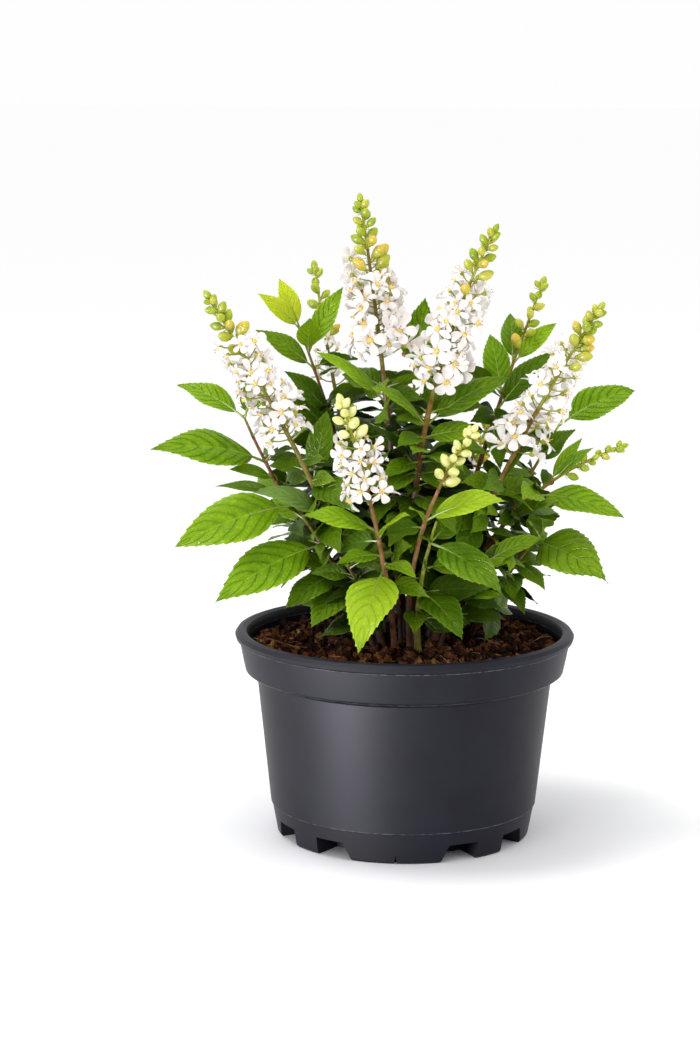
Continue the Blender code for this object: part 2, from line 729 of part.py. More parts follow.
def make_pot():
    plastic = material("pot_plastic", (0.035, 0.035, 0.042), 0.42)
    pot = mesh_object("pot", *turned(pot_profile(), POT_SIDES), plastic)
    cutters = []
    for quarter in range(4):
        foot = FEET_TURN + quarter * math.pi / 2
        for way in (-1, 1):
            cutters.append(radial_cutter(f"notch_{quarter}_{way + 1}", foot + way * NOTCH_OFFSET,
                                         notch_outline(-way), FEET_INNER_RADIUS, RIM_RADIUS))
        slit = [(-SLIT_WIDTH / 2, -3 * MM), (0, SLIT_HEIGHT), (SLIT_WIDTH / 2, -3 * MM)]
        cutters.append(radial_cutter(f"slit_{quarter}", foot, slit,
                                     FOOT_RADIUS - SLIT_DEPTH, RIM_RADIUS))
    group = bpy.data.collections.new("pot_cutters")
    bpy.context.scene.collection.children.link(group)
    for cutter in cutters:
        bpy.context.scene.collection.objects.unlink(cutter)
        group.objects.link(cutter)
    cut = pot.modifiers.new("notches", "BOOLEAN")
    cut.operation = "DIFFERENCE"
    cut.operand_type = "COLLECTION"
    cut.collection = group
    cut.solver = "MANIFOLD"
    apply_modifiers(pot)
    for cutter in cutters:
        bpy.data.objects.remove(cutter, do_unlink=True)
    bpy.data.collections.remove(group)
    pot.data.shade_smooth()
    pot.data.set_sharp_from_angle(angle=math.radians(35))


def lump(x, y):
    """The height of the soil over its level: rough, but flat where the stems stand."""
    away = min(1.0, max(0.0, (math.hypot(x, y) - SOIL_LEVEL_RADIUS) / (12 * MM)))
    rough = math.sin(x * 310 + 1.3) * math.cos(y * 270 - 0.6) + 0.6 * math.sin(x * 640 - y * 590)
    return SOIL_LUMP * rough / 1.6 * away


def make_soil():
    """The filling of the pot, clear of its walls and floor by a little more than GAP."""
    earth = material("soil", (0.075, 0.035, 0.02), 0.95)
    clear = 0.4 * MM
    slope = (SHOULDER_RADIUS - SEAM_RADIUS) / (SHOULDER - SEAM)
    profile = [(0, FLOOR + clear), (FEET_INNER_RADIUS - 3.6 * MM, FLOOR + clear),
               (FEET_INNER_RADIUS - 0.6 * MM, FEET_TOP + clear),
               (SEAM_RADIUS - WALL - 2.6 * MM, FEET_TOP + clear),
               (SEAM_RADIUS - WALL - 0.6 * MM, FEET_TOP + 3.6 * MM),
               (SHOULDER_RADIUS - WALL - 1.2 * MM + slope * MM, SHOULDER - 2.5 * MM),
               (SOIL_RADIUS - 1.0 * MM, COLLAR_FOOT + 2.4 * MM)]
    for k in range(SOIL_RINGS):
        profile.append((SOIL_RADIUS * (1 - k / SOIL_RINGS), SOIL_TOP))
    profile.append((0, SOIL_TOP))
    verts, faces = turned(profile, SOIL_SIDES)
    top = [v for v in verts if v.z == SOIL_TOP or abs(v.z - SOIL_TOP) < 1e-7]
    for v in top:
        v.z += lump(v.x, v.y)
    mesh_object("soil", verts, faces, earth)


def main():
    clear_scene()
    make_pot()
    make_soil()
    make_plant()


main()
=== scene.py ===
"""The look of the potted summersweet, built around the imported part.

The plant grows again here by the part's own rule, with the same random draws, so
its leaves stand where the part has them.  Each gets a fine mesh, and smaller
leaves, more flowers and more buds fill in between, within the same reach.
Lengths are in metres, +Z is up and the front of the plant looks along -Y.
"""

import math
import random
from collections import namedtuple

import bmesh
import bpy
from mathutils import Euler, Matrix, Vector, noise
from mathutils.bvhtree import BVHTree


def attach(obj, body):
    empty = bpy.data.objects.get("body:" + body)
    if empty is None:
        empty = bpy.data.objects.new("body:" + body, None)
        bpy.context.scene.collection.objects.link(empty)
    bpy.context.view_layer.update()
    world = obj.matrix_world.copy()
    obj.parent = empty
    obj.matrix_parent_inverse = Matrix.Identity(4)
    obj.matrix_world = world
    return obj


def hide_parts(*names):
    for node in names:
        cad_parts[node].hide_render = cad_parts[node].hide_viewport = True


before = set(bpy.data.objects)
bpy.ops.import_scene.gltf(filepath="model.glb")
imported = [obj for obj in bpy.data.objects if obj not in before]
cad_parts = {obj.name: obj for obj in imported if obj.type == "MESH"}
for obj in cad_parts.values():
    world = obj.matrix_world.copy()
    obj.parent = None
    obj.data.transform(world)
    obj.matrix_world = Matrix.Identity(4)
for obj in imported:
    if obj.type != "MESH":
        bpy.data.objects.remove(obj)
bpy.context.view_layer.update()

MM = 0.001
GAP = 0.3 * MM
UP = Vector((0, 0, 1))
FRONT = Vector((0, -1, 0))
BACK = Vector((0, 1, 0))
RIGHT = Vector((1, 0, 0))
GOLDEN_ANGLE = math.radians(137.5)

# The viewpoint of the photo: place, turn and lens on a 36 mm sensor
CAMERA_PLACE = Vector((0, -1663.9 * MM, 492.6 * MM))
CAMERA_PITCH = math.radians(9.76)
CAMERA_YAW = math.radians(-1.26)
CAMERA_ROLL = math.radians(0.31)
CAMERA_LENS = 87.63

# Pot
RIM_RADIUS = 112.5 * MM
POT_HEIGHT = 137.4 * MM
LIP_WIDTH = 8.6 * MM
LIP_DEPTH = 7.0 * MM
COLLAR_TOP_RADIUS = 109.6 * MM
COLLAR_RADIUS = 106.4 * MM
COLLAR_FOOT = 109.2 * MM
SHOULDER_RADIUS = 98.0 * MM
SHOULDER = 107.2 * MM
SEAM_RADIUS = 88.6 * MM
SEAM = 21.0 * MM
FOOT_RADIUS = 84.3 * MM
WALL = 2.2 * MM
FLOOR = 3.0 * MM
FEET_TOP = 15.0 * MM
FEET_INNER_RADIUS = 62.0 * MM

# Drain notches between the feet: a wide foot, a notch, a narrow foot, a notch, four times round
NOTCH_HEIGHT = 12.0 * MM
NOTCH_WIDTH = 21.0 * MM
NOTCH_SLANT = 5.0 * MM
NOTCH_OFFSET = math.radians(30.5)
FEET_TURN = math.radians(-3)
SLIT_WIDTH = 3.2 * MM
SLIT_HEIGHT = 6.5 * MM
SLIT_DEPTH = 5.0 * MM

# Soil
SOIL_TOP = 126.0 * MM
SOIL_RADIUS = 102.2 * MM
# Shares of the soil's radius and the heights where they are reached, below its top
SOIL_LEVELS = ((0.2, FLOOR), (0.84, FEET_TOP + 4 * MM), (0.94, SHOULDER - 4 * MM), (0.985, SOIL_TOP - 5 * MM))

# Fine surfaces
POT_FINE_SIDES = 192
SOIL_FINE_SIDES = 144
SOIL_FINE_RINGS = 44
SOIL_CRUMBS = 3400
SOIL_CLODS = 340
SOIL_FIBRES = 90
SOIL_SEED = 5
STALK_END = 0.13
PLACED_GRID = (52, 12)
RULE_GRID = (28, 6)
ROWS_PER_TOOTH = 4
TOOTH_DEPTH = 0.024
TOOTH_LEAN = 0.7
VEIN_PAIRS = 7
VEIN_SWEEP = 0.23
VEIN_BEND = 0.09
QUILT_DEPTH = 0.07
LEAF_SHAPE_SEED = 11
CURL_RANGE = (-0.08, 0.14)
DROOP_RANGE = (0.0, 0.06)
RIPPLE_RANGE = (0.02, 0.05)
TOOTHED_RANGE = (0.12, 0.97)
BLADE_THICKNESS = 0.009
LEAST_HALF_WIDTH = 0.12 * MM
PLACED_RIB = (0.62, 11)
RULE_RIB = (0.3, 8)
RIB_LIFT = 0.1 * MM
STEM_SIDES = 14
STEM_RINGS = 44
WANDER_SEED = 3
WANDER = 0.35 * MM
JOINT_SWELL = 0.28
JOINT_SHARE = 0.008
GRAIN_SWELL = 0.05
STRETCH_OVERLAP = 0.004

# Colours of the crumbs on the soil, and how often each comes
CRUMB_COLOURS = {
    "black": ((0.004, 0.0015, 0.001), (0.030, 0.010, 0.005)),
    "brown": ((0.020, 0.006, 0.002), (0.15, 0.050, 0.018)),
    "gold": ((0.075, 0.026, 0.008), (0.28, 0.125, 0.040)),
    "pale": ((0.28, 0.15, 0.06), (0.60, 0.42, 0.22)),
}
CRUMB_MIX = ("black",) * 24 + ("brown",) * 26 + ("gold",) * 7 + ("pale",)
CLOD_MIX = ("black", "brown", "brown", "brown", "brown", "gold", "gold")
PEAT_COLOURS = ((0.003, 0.001, 0.0005), (0.022, 0.007, 0.003))
FIBRE_COLOURS = ((0.14, 0.065, 0.028), (0.36, 0.20, 0.09))

# Crumbs and clods: the smallest size and the range above it in mm, and how rare the large ones are
CRUMB_SIZE = (0.8, 5.0, 4)
CLOD_SIZE = (1.6, 4.6, 2.2)
FIBRE_LENGTH = (4 * MM, 16 * MM)

# Heights of the pot's pale edge lines and half the width of each: partly scuffs and mould flash, partly a
# painted highlight, chiefly on the collar's lower edge
SCUFF_AND_HIGHLIGHT_LEVELS = (POT_HEIGHT - LIP_DEPTH, COLLAR_FOOT, SEAM)
SCUFF_AND_HIGHLIGHT_HALF_WIDTH = 0.35 * MM

# How many more leaves, flowers and buds the scene grows than the part
EXTRA_PAIRS = 4
EXTRA_TURN = 45
FRONT_SHOOTS = ("front_west", "front_east", "green_front", "low_east", "low_west", "outer_west", "low_raceme")
EXTRA_SIZE = 0.78
EXTRA_LEAF_SEED = 1900
EXTRA_FLOWER_SEED = 1300
FLOWERS_PER_SITE = 2.5
BUDS_PER_SITE = 1.55
LAST_OPEN = 0.82
SHUT_SHARE = 0.5
FLOWER_RANGE = (0.78, 1.04)
NEAR_RACEME = 200 * MM
# Few flowers stand in a lane along the front of a raceme, so its stem shows there
LANE_WIDTH = 0.90
LANE_START = 0.2
LANE_THINNING = 0.35
WITHERED_SHARE = 0.2
BUD_GIRTH = 0.33
PALE_BUDS = ("front_west", "front_east")
GREEN_BUDS = ("low_raceme",)

Bloom = namedtuple("Bloom", "kind root axis out reach size share pale")
Blade = namedtuple("Blade", "shoot base tip width face placed")

# Stems
LIMB_SIDES = 6
LIMB_RINGS = 4
LIMB_RING_EASE = 1.4
TWIG_SIDES = 3
TWIG_RINGS = 7
TIP_RADIUS = 0.75 * MM
FLARE = 1.45
FLARE_SHARE = 0.08

# Leaves: each outline gives shares of the length with the width there, as a share of the leaf's width
LEAF_OUTLINE = ((0.13, 0.05), (0.36, 1.0), (0.70, 0.72))
PLAIN_OUTLINE = ((0.42, 1.0),)
LEAF_THICKNESS = 0.016
LEAF_FOLD = 0.16
LEAF_ARCH = 0.09
LEAF_BOW = 0.06
PETIOLE_RADIUS = 0.75 * MM
ROOT_RADIUS = 0.35 * MM
BLADE_START = 0.3

# Leaves grown by rule: their length and their rise over level change from a shoot's foot to its tip
FOOT_LENGTH = 56 * MM
LENGTH_LOSS = 18 * MM
LENGTH_RANGE = (0.78, 1.12)
LEAF_WIDTH = 0.44
FOOT_RISE = -34
RISE_GAIN = 66
RISE_SWAY = 14
BEARING_SWAY = 18
LEAN_RANGE = (35, 75)
PAIR_START = 0.3
PAIR_MARGIN = 0.02
RACEME_MARGIN = 0.03
LAST_PAIR = 0.97
TURN_TRIES = (0, 25, -25, 50, -50, 80)
TRY_SHRINK = 0.06
DEPTH_TRIES = (0, 5 * MM, -5 * MM, 10 * MM, -10 * MM, 16 * MM)
TEST_MARGIN = 0.9 * MM

# The space that the leaves grown by rule keep to, as an ellipsoid, and the floor under every leaf
CROWN_CENTRE = Vector((0, 34 * MM, 206 * MM))
CROWN_REACH = Vector((105 * MM, 104 * MM, 114 * MM))
LOWEST_LEAF = 133 * MM

# First numbers of the random draws, one of each for every shoot
FLOWER_SEED = 500
BUD_SEED = 700
LEAF_SEED = 900

# Flowers: how far they lean towards the tip, and their sizes as shares of their reach
FLOWER_RISE = 0.42
FLOWER_PLACE = 0.74
FLOWER_SIZE = 0.36
FLOWER_CROWN = 0.12
FLOWER_SHRINK = 0.25
CORE_SIDES = 7
CORE_OUTLINE = ((-0.03, 0), (0.10, 0.44), (0.65, 0.42), (1.02, 0.16), (1.12, 0))
FEWEST_FOR_CORE = 5
SITE_SWAY = 0.3

# Buds: their size and reach above the flowers, and what they lose of each up to the tip
BUD_SIZE = 9.6 * MM
BUD_REACH = 14.0 * MM
YOUNG_BUD_SIZE = 0.74
BUD_SHRINK = 0.30
BUD_REACH_SHRINK = 0.48
BUD_RISE = 0.75
BUD_BELLY = 0.42
LAST_BUD = 0.985

Raceme = namedtuple("Raceme", "flowers_from buds_from reach flowers buds")
Leaf = namedtuple("Leaf", "at tip width lean")
Shoot = namedtuple("Shoot", "name foot control tip thick bare raceme pairs turn leaves")


def raceme(flowers_from, buds_from, reach, flowers=0, buds=9):
    """Where the flowers and the buds start along the shoot, and the reach in mm round its axis."""
    return Raceme(flowers_from, buds_from, reach * MM, flowers, buds)


def shoot(name, foot, middle, tip, thick, bare, top=None, pairs=4, turn=0, leaves=()):
    """Foot (x, y) in the soil, a point halfway up and the tip, in mm, with the leaves given one by one.

    bare is the share of the shoot that is bare limb, pairs the number of leaf pairs grown by rule,
    and turn the bearing of the first pair in degrees.
    """
    placed = [Leaf(at, Vector(point) * MM, width * MM, lean) for at, point, width, lean in leaves]
    start = Vector((foot[0], foot[1], SOIL_TOP / MM)) * MM
    end = Vector(tip) * MM
    control = 2 * (Vector(middle) * MM) - (start + end) / 2
    return Shoot(name, start, control, end, thick * MM, bare, top, pairs, turn, placed)


SHOOTS = (
    shoot("west", (-14, -8), (-64, -18, 243), (-127, -34, 359), 2.6, 0.24,
          raceme(0.59, 0.87, 22, 19, 8), 6, 20,
          [(0.37, (-96, -52, 238), 17, 45), (0.47, (-52, 0, 283), 17, 60)]),
    shoot("centre", (0, 6), (-12, 5, 275), (-31, 5, 419), 2.7, 0.24,
          raceme(0.64, 0.86, 25, 19, 9), 7, 70,
          [(0.54, (-60, -6, 322), 14, 30)]),
    shoot("mid_east", (8, -8), (11, -19, 267), (55, -30, 402), 2.7, 0.24,
          raceme(0.61, 0.88, 23, 19, 8), 7, 40,
          [(0.53, (67, -12, 308), 20, 40), (0.53, (-22, -38, 305), 14, 30),
           (0.42, (-18, -52, 232), 17, 30), (0.42, (-25, -42, 279), 13, 30),
           (0.50, (50, -26, 273), 17, 45)]),
    shoot("east", (18, -4), (63, -15, 242), (123, -29, 353), 2.6, 0.24,
          raceme(0.55, 0.87, 22, 18, 8), 6, 90,
          [(0.46, (80, -14, 262), 8, 20)]),
    shoot("back_east", (16, 16), (50, 35, 245), (91, 64, 362), 2.3, 0.30,
          raceme(0.79, 0.79, 12.5, 0, 8), 5, 100,
          [(0.77, (70, 74, 342), 15, 70), (0.77, (101, 60, 336), 12, 60),
           (0.68, (56, 60, 329), 18, 60), (0.64, (97, 40, 318), 18, 50),
           (0.60, (63, 16, 242), 13, 30)]),
    shoot("back_west", (-10, 18), (-40, 44, 250), (-63, 69, 371), 2.3, 0.30,
          raceme(0.67, 0.79, 17, 5, 6), 6, 60),
    shoot("leafy_back_west", (-15, 10), (-37, 22, 228), (-72, 35, 334), 2.0, 0.28, None, 5, 30,
          [(0.99, (-99, 28, 357), 12, 55), (0.99, (-86, 43, 366), 13, 65),
           (0.92, (-64, 14, 342), 16, 20), (0.92, (-43, 34, 361), 15, 60),
           (0.87, (-100, 20, 333), 15, 50), (0.72, (-80, 2, 308), 16, 50),
           (0.66, (-78, 8, 290), 20, 70)]),
    shoot("outer_west", (-21, 2), (-75, 2, 215), (-108, 15, 277), 2.2, 0.26, None, 5, 80,
          [(0.98, (-153, 25, 297), 18, 40), (0.73, (-163, -48, 263), 29, 48),
           (0.64, (-116, -14, 245), 12, 40), (0.57, (-126, 4, 231), 9, 40),
           (0.98, (-98, 32, 303), 18, 50)]),
    shoot("low_west", (-20, -12), (-46, -18, 181), (-74, -26, 226), 2.0, 0.24, None, 4, 10,
          [(0.97, (-148, -58, 201), 33, 58), (0.66, (-121, -72, 168), 33, 52),
           (0.46, (-77, -57, 161), 20, 40), (0.34, (-60, -60, 150), 22, 25)]),
    shoot("front_west", (-6, -22), (-18, -62, 213), (-41, -84, 299), 2.1, 0.22,
          raceme(0.61, 0.84, 20, 11, 6), 2, 0,
          [(0.50, (-65, -86, 227), 19, 35), (0.47, (2, -88, 229), 19, 30),
           (0.40, (-43, -80, 195), 14, 30), (0.35, (-30, -92, 140), 34, 0),
           (0.37, (7, -77, 186), 14, 20)]),
    shoot("front_east", (4, -20), (9, -50, 205), (42, -74, 280), 2.1, 0.24,
          raceme(0.75, 0.75, 12.5, 0, 9), 2, 50,
          [(0.59, (63, -82, 237), 21, 40), (0.58, (2, -77, 231), 9, 30)]),
    shoot("low_raceme", (27, 3), (67, 5, 209), (143, 10, 259), 2.0, 0.24,
          raceme(0.77, 0.77, 10, 0, 8), 4, 90,
          [(0.64, (143, -17, 217), 21, 45), (0.50, (101, -18, 226), 12, 40),
           (0.71, (117, 20, 263), 9, 50), (0.74, (123, -2, 260), 9, 40)]),
    shoot("leafy_east", (27, 14), (64, 28, 200), (105, 45, 272), 2.0, 0.24, None, 5, 60,
          [(0.97, (156, 66, 291), 25, 45), (0.80, (112, 28, 268), 17, 45),
           (0.62, (55, 18, 282), 18, 65)]),
    shoot("low_east", (45, 28), (65, 16, 165), (94, 6, 207), 1.9, 0.22, None, 4, 120,
          [(0.86, (131, -42, 179), 36, 50), (0.66, (92, -22, 169), 13, 30),
           (0.50, (79, -18, 152), 14, 20), (0.56, (71, -32, 165), 16, 25),
           (0.95, (89, -14, 215), 15, 40)]),
    shoot("green_front", (9, -27), (10, -42, 172), (20, -50, 218), 2.4, 0.20, None, 4, 40,
          [(0.84, (62, -88, 178), 28, 30), (0.48, (37, -86, 149), 26, 10),
           (0.34, (6, -62, 147), 16, 0)]),
    shoot("north", (4, 22), (5, 42, 216), (5, 58, 306), 2.2, 0.26, None, 8, 0,
          [(0.98, (12, 52, 353), 25, 75)]),
    shoot("back_spire_west", (-8, 30), (-18, 68, 205), (-40, 112, 272), 2.1, 0.26,
          raceme(0.62, 0.82, 18, 9, 5), 5, 80),
    shoot("back_spire_east", (16, 34), (30, 68, 200), (58, 108, 260), 2.1, 0.26,
          raceme(0.62, 0.80, 18, 8, 5), 5, 10),
    shoot("back_leafy", (3, 38), (8, 76, 190), (14, 118, 236), 2.0, 0.24, None, 6, 45),
    shoot("back_low_west", (-24, 20), (-56, 42, 185), (-86, 62, 232), 2.0, 0.24, None, 6, 20),
    shoot("inner_west", (-13, -15), (-27, -29, 166), (-42, -40, 192), 1.8, 0.20, None, 4, 15),
    shoot("inner_front", (-2, -12), (-5, -27, 168), (-10, -38, 198), 1.8, 0.20, None, 4, 75),
    shoot("inner_east", (23, -16), (36, -28, 166), (54, -38, 190), 1.8, 0.20, None, 4, 40,
          [(0.97, (89, -36, 206), 14, 40)]),
    shoot("inner_back", (20, 26), (24, 34, 166), (30, 44, 196), 1.8, 0.20, None, 4, 0),
    shoot("back_low_east", (32, 26), (68, 50, 185), (98, 76, 226), 2.0, 0.24, None, 6, 70),
)


# Closed skins over rings of points

def neighbours(ring):
    """Each item of a ring with the next one round."""
    return zip(ring, ring[1:] + ring[:1])


def bridge(faces, a, b, quads):
    """Faces between two rings of point numbers, which may differ in count or be a single point."""
    if len(a) == 1:
        faces += [(a[0], after, here) for here, after in neighbours(b)]
    elif len(b) == 1:
        faces += [(here, after, b[0]) for here, after in neighbours(a)]
    elif quads:
        faces += [(*low, *reversed(high)) for low, high in zip(neighbours(a), neighbours(b))]
    else:
        i = j = 0
        while i < len(a) or j < len(b):
            if j == len(b) or (i < len(a) and (i + 1) * len(b) <= (j + 1) * len(a)):
                faces.append((a[i], a[(i + 1) % len(a)], b[j % len(b)]))
                i += 1
            else:
                faces.append((a[i % len(a)], b[(j + 1) % len(b)], b[j]))
                j += 1


def skin(rings, quads=False):
    """Vertices and faces of a closed skin over rings; an end that isn't a point is capped."""
    verts, faces, last = [], [], None
    for ring in rings:
        numbers = list(range(len(verts), len(verts) + len(ring)))
        verts += ring
        if last:
            bridge(faces, last, numbers, quads)
        elif len(numbers) > 1:
            faces.append(tuple(reversed(numbers)))
        last = numbers
    if len(last) > 1:
        faces.append(tuple(last))
    return verts, faces


def circle(centre, side, other, radius, count):
    angles = [2 * math.pi * k / count for k in range(count)]
    return [centre + side * (radius * math.cos(a)) + other * (radius * math.sin(a)) for a in angles]


def across(axis, hint=UP):
    """Two unit vectors square to the axis and to each other."""
    side = axis.cross(hint)
    if side.length < 1e-4:
        side = axis.cross(RIGHT)
    side.normalize()
    return side, side.cross(axis).normalized()


def turned_to(side, other, angle):
    """The unit vector at an angle from side towards other."""
    return side * math.cos(angle) + other * math.sin(angle)


# The course of a shoot

def curve(start, control, end, t):
    """The point at share t of a smooth curve, and the way it runs there."""
    point = (1 - t) ** 2 * start + 2 * t * (1 - t) * control + t ** 2 * end
    return point, ((1 - t) * (control - start) + t * (end - control)).normalized()


def along(sh, t):
    return curve(sh.foot, sh.control, sh.tip, t)[0]


def heading(sh, t):
    return curve(sh.foot, sh.control, sh.tip, t)[1]


def shoot_length(sh):
    steps = 24
    return sum((along(sh, (k + 1) / steps) - along(sh, k / steps)).length for k in range(steps))


def radius_at(sh, t):
    """True taper from the foot to the tip, with a short flare at the soil."""
    flare = 1 + (FLARE - 1) * max(0.0, 1 - t / FLARE_SHARE) ** 2
    return (sh.thick * (1 - t) + TIP_RADIUS * t) * flare


def stem_ring(sh, t, radius, count):
    """A ring of points round a shoot at share t."""
    side, other = across(heading(sh, t), FRONT)
    return circle(along(sh, t), side, other, radius, count)


def limb_skin(sh):
    """The bare foot of a shoot: a flat level cut at the soil, up to just under its foliage."""
    top = sh.bare - GAP / 2 / shoot_length(sh)
    shares = [top * (k / (LIMB_RINGS - 1)) ** LIMB_RING_EASE for k in range(LIMB_RINGS)]
    rings = [stem_ring(sh, t, radius_at(sh, t), LIMB_SIDES) for t in shares]
    rings[0] = [Vector((p.x, p.y, SOIL_TOP + GAP)) for p in rings[0]]
    return skin(rings)


def twig_skin(sh):
    """The upper part of a shoot, which its leaves and flowers stand on."""
    start = sh.bare + GAP / 2 / shoot_length(sh)
    shares = [start + (1 - start) * k / (TWIG_RINGS - 1) for k in range(TWIG_RINGS)]
    return skin([stem_ring(sh, t, radius_at(sh, t), TWIG_SIDES) for t in shares])


def joints(sh):
    """The shares where pairs of leaves stand on a shoot."""
    foot = sh.bare + PAIR_MARGIN
    top = sh.raceme.flowers_from - RACEME_MARGIN if sh.raceme else LAST_PAIR
    return [foot + (top - foot) * (k + PAIR_START) / sh.pairs for k in range(sh.pairs)]


# Leaves

def leaf_face(base, tip, lean, towards):
    """The way a blade's upper face looks: up, leaning by lean degrees towards a side."""
    chord = (tip - base).normalized()
    angle = math.radians(lean)
    wish = UP * math.cos(angle) + towards * math.sin(angle)
    face = wish - chord * wish.dot(chord)
    if face.length < 0.05:
        face = towards - chord * towards.dot(chord)
    return face.normalized()


def leaf_course(blade, share):
    """The point of a leaf's midrib at a share of its length, with the ways along, across and above it.

    The midrib arches towards the upper face and bows upward.
    """
    base, tip, face = blade.base, blade.tip, blade.face
    control = (base + tip) / 2 + (face * LEAF_ARCH + UP * LEAF_BOW) * (tip - base).length
    point, axis = curve(base, control, tip, share)
    normal = (face - axis * face.dot(axis)).normalized()
    return point, axis, axis.cross(normal), normal


def leaf_skin(blade, start=0.0, margin=0.0, outline=LEAF_OUTLINE):
    """A folded, arching blade on its stalk, from share start of its length to the tip."""
    base, tip, face = blade.base, blade.tip, blade.face
    length = (tip - base).length
    rings = []
    if start == 0:
        axis = leaf_course(blade, 0)[1]
        rings.append(circle(base, axis.cross(face).normalized(), face, ROOT_RADIUS + margin, 3))
    for share, spread in outline:
        if share < start:
            continue
        centre, _, side, normal = leaf_course(blade, share)
        half = max(spread * blade.width / 2, PETIOLE_RADIUS) + margin
        thick = max(LEAF_THICKNESS * length * (0.5 + spread / 2), PETIOLE_RADIUS * 1.6) / 2 + margin
        lift = normal * (LEAF_FOLD * half)
        left, right = centre + side * half, centre - side * half
        if len(outline) == 1:
            rings.append([left, right, centre - normal * (2 * thick)])
        else:
            rings.append([left + lift, centre + normal * thick, right + lift, centre - normal * thick])
    rings.append([tip + (tip - base).normalized() * margin])
    return skin(rings)


def rule_leaves(sh, seed):
    """Opposite pairs of leaves, each pair square to the last, from the foliage's foot upwards.

    Each leaf is a list of tries, turned further round the stem where the first has no room.
    """
    dice = random.Random(seed)
    leaves = []
    for k, at in enumerate(joints(sh)):
        base = along(sh, at)
        for half in (0, 1):
            bearing = sh.turn + 90 * k + 180 * half + dice.uniform(-BEARING_SWAY, BEARING_SWAY)
            rise = math.radians(FOOT_RISE + RISE_GAIN * at + dice.uniform(-RISE_SWAY, RISE_SWAY))
            length = (FOOT_LENGTH - LENGTH_LOSS * at) * dice.uniform(*LENGTH_RANGE)
            lean = dice.uniform(*LEAN_RANGE)
            tries = []
            for number, turn in enumerate(TURN_TRIES):
                angle = math.radians(bearing + turn)
                flat = Vector((math.sin(angle), -math.cos(angle), 0)) * math.cos(rise)
                size = length * (1 - TRY_SHRINK * number)
                tip = base + (flat + UP * math.sin(rise)) * size
                tries.append(Leaf(at, tip, size * LEAF_WIDTH, lean))
            leaves.append(tries)
    return leaves


def in_crown(point):
    share = [(point[i] - CROWN_CENTRE[i]) / CROWN_REACH[i] for i in range(3)]
    return sum(s * s for s in share) < 1


# Flowers and buds

def raceme_sites(sh, start, end, count, seed):
    """Points round the axis by the golden angle, with the way each stalk leaves it."""
    dice = random.Random(seed)
    for k in range(count):
        t = start + (end - start) * (k + 0.5) / count
        axis = heading(sh, t)
        side, other = across(axis, FRONT)
        out = turned_to(side, other, k * GOLDEN_ANGLE + dice.uniform(-SITE_SWAY, SITE_SWAY))
        yield along(sh, t), axis, out, (k + 0.5) / count


def flower_sites(sh, number, density=1):
    top = sh.raceme
    count = round(top.flowers * density)
    return raceme_sites(sh, top.flowers_from, top.buds_from, count, FLOWER_SEED + number)


def bud_sites(sh, number, density=1):
    count = round(sh.raceme.buds * density)
    return raceme_sites(sh, sh.raceme.buds_from, LAST_BUD, count, BUD_SEED + number)


def core_skin(sh):
    """The dense middle of a raceme in flower, which its flowers stand out of."""
    top = sh.raceme
    rings = []
    for share, spread in CORE_OUTLINE:
        t = top.flowers_from + (top.buds_from - top.flowers_from) * share
        rings.append(stem_ring(sh, t, top.reach * spread, CORE_SIDES) if spread else [along(sh, t)])
    return skin(rings)


def flower_skin(root, axis, out, reach, margin=0.0):
    """An open flower as a five-sided funnel that stands out of the raceme's middle."""
    way = (out + axis * FLOWER_RISE).normalized()
    side, other = across(way)
    centre = root + way * (reach * FLOWER_PLACE)
    size = reach * FLOWER_SIZE + margin
    petals = circle(centre, side, other, size, 5)
    return skin([[root], petals, [centre + way * (size * FLOWER_CROWN + margin)]])


def bud_measures(top, share):
    """The size of a bud and its reach, at a share of the way up the buds of a raceme."""
    size = BUD_SIZE if top.flowers else top.reach * YOUNG_BUD_SIZE
    reach = BUD_REACH if top.flowers else top.reach
    return size * (1 - BUD_SHRINK * share), reach * (1 - BUD_REACH_SHRINK * share)


def bud_skin(root, axis, out, reach, size, margin=0.0):
    """A bud on a stalk that thins towards its root."""
    way = (out + axis * BUD_RISE).normalized()
    side, other = across(way)
    belly = root + way * (reach - size / 2)
    return skin([[root], circle(belly, side, other, size * BUD_BELLY + margin, 3),
                 [root + way * (reach + margin)]])


def end_bud(sh):
    """The bud that ends a raceme, straight on from its stem."""
    axis = heading(sh, 1)
    size = bud_measures(sh.raceme, 1)[0]
    return bud_skin(sh.tip - axis * (size / 4), axis, axis, size, size)


# What is already in place, so that nothing grows through it

class Taken:
    """The pieces placed so far, each with the name of the mass it belongs to."""

    def __init__(self):
        self.pieces = []

    def add(self, owner, skin_parts):
        self.pieces.append((owner, *boxed(*skin_parts)))

    def touches(self, owner, skin_parts, own=False):
        """True where a skin crosses a piece of another owner or, with own, of the same one."""
        low, high, tree = boxed(*skin_parts)
        for name, box_low, box_high, other in self.pieces:
            if (name == owner) != own:
                continue
            if any(low[i] > box_high[i] or high[i] < box_low[i] for i in range(3)):
                continue
            if tree.overlap(other):
                return True
        return False


def boxed(verts, faces):
    """A skin's lowest and highest corner, and its faces in a search tree."""
    low, high = ([end(v[i] for v in verts) for i in range(3)] for end in (min, max))
    return low, high, BVHTree.FromPolygons(verts, faces)


def part_raceme(sh, number, taken, blades):
    """The room that the part's own flowers and buds take, which its leaves grow round."""
    solids = []
    for root, axis, out, share in flower_sites(sh, number):
        reach = sh.raceme.reach * (1 - FLOWER_SHRINK * share)
        solids.append([flower_skin(root, axis, out, reach, margin) for margin in (TEST_MARGIN, 0.0)])
    for root, axis, out, share in bud_sites(sh, number):
        size, reach = bud_measures(sh.raceme, share)
        solids.append([bud_skin(root, axis, out, reach, size, margin) for margin in (TEST_MARGIN, 0.0)])
    for guard, solid in solids:
        if not taken.touches(sh.name, guard) and not blades.touches(sh.name, guard, own=True):
            taken.add(sh.name, solid)
            blades.add(sh.name, solid)


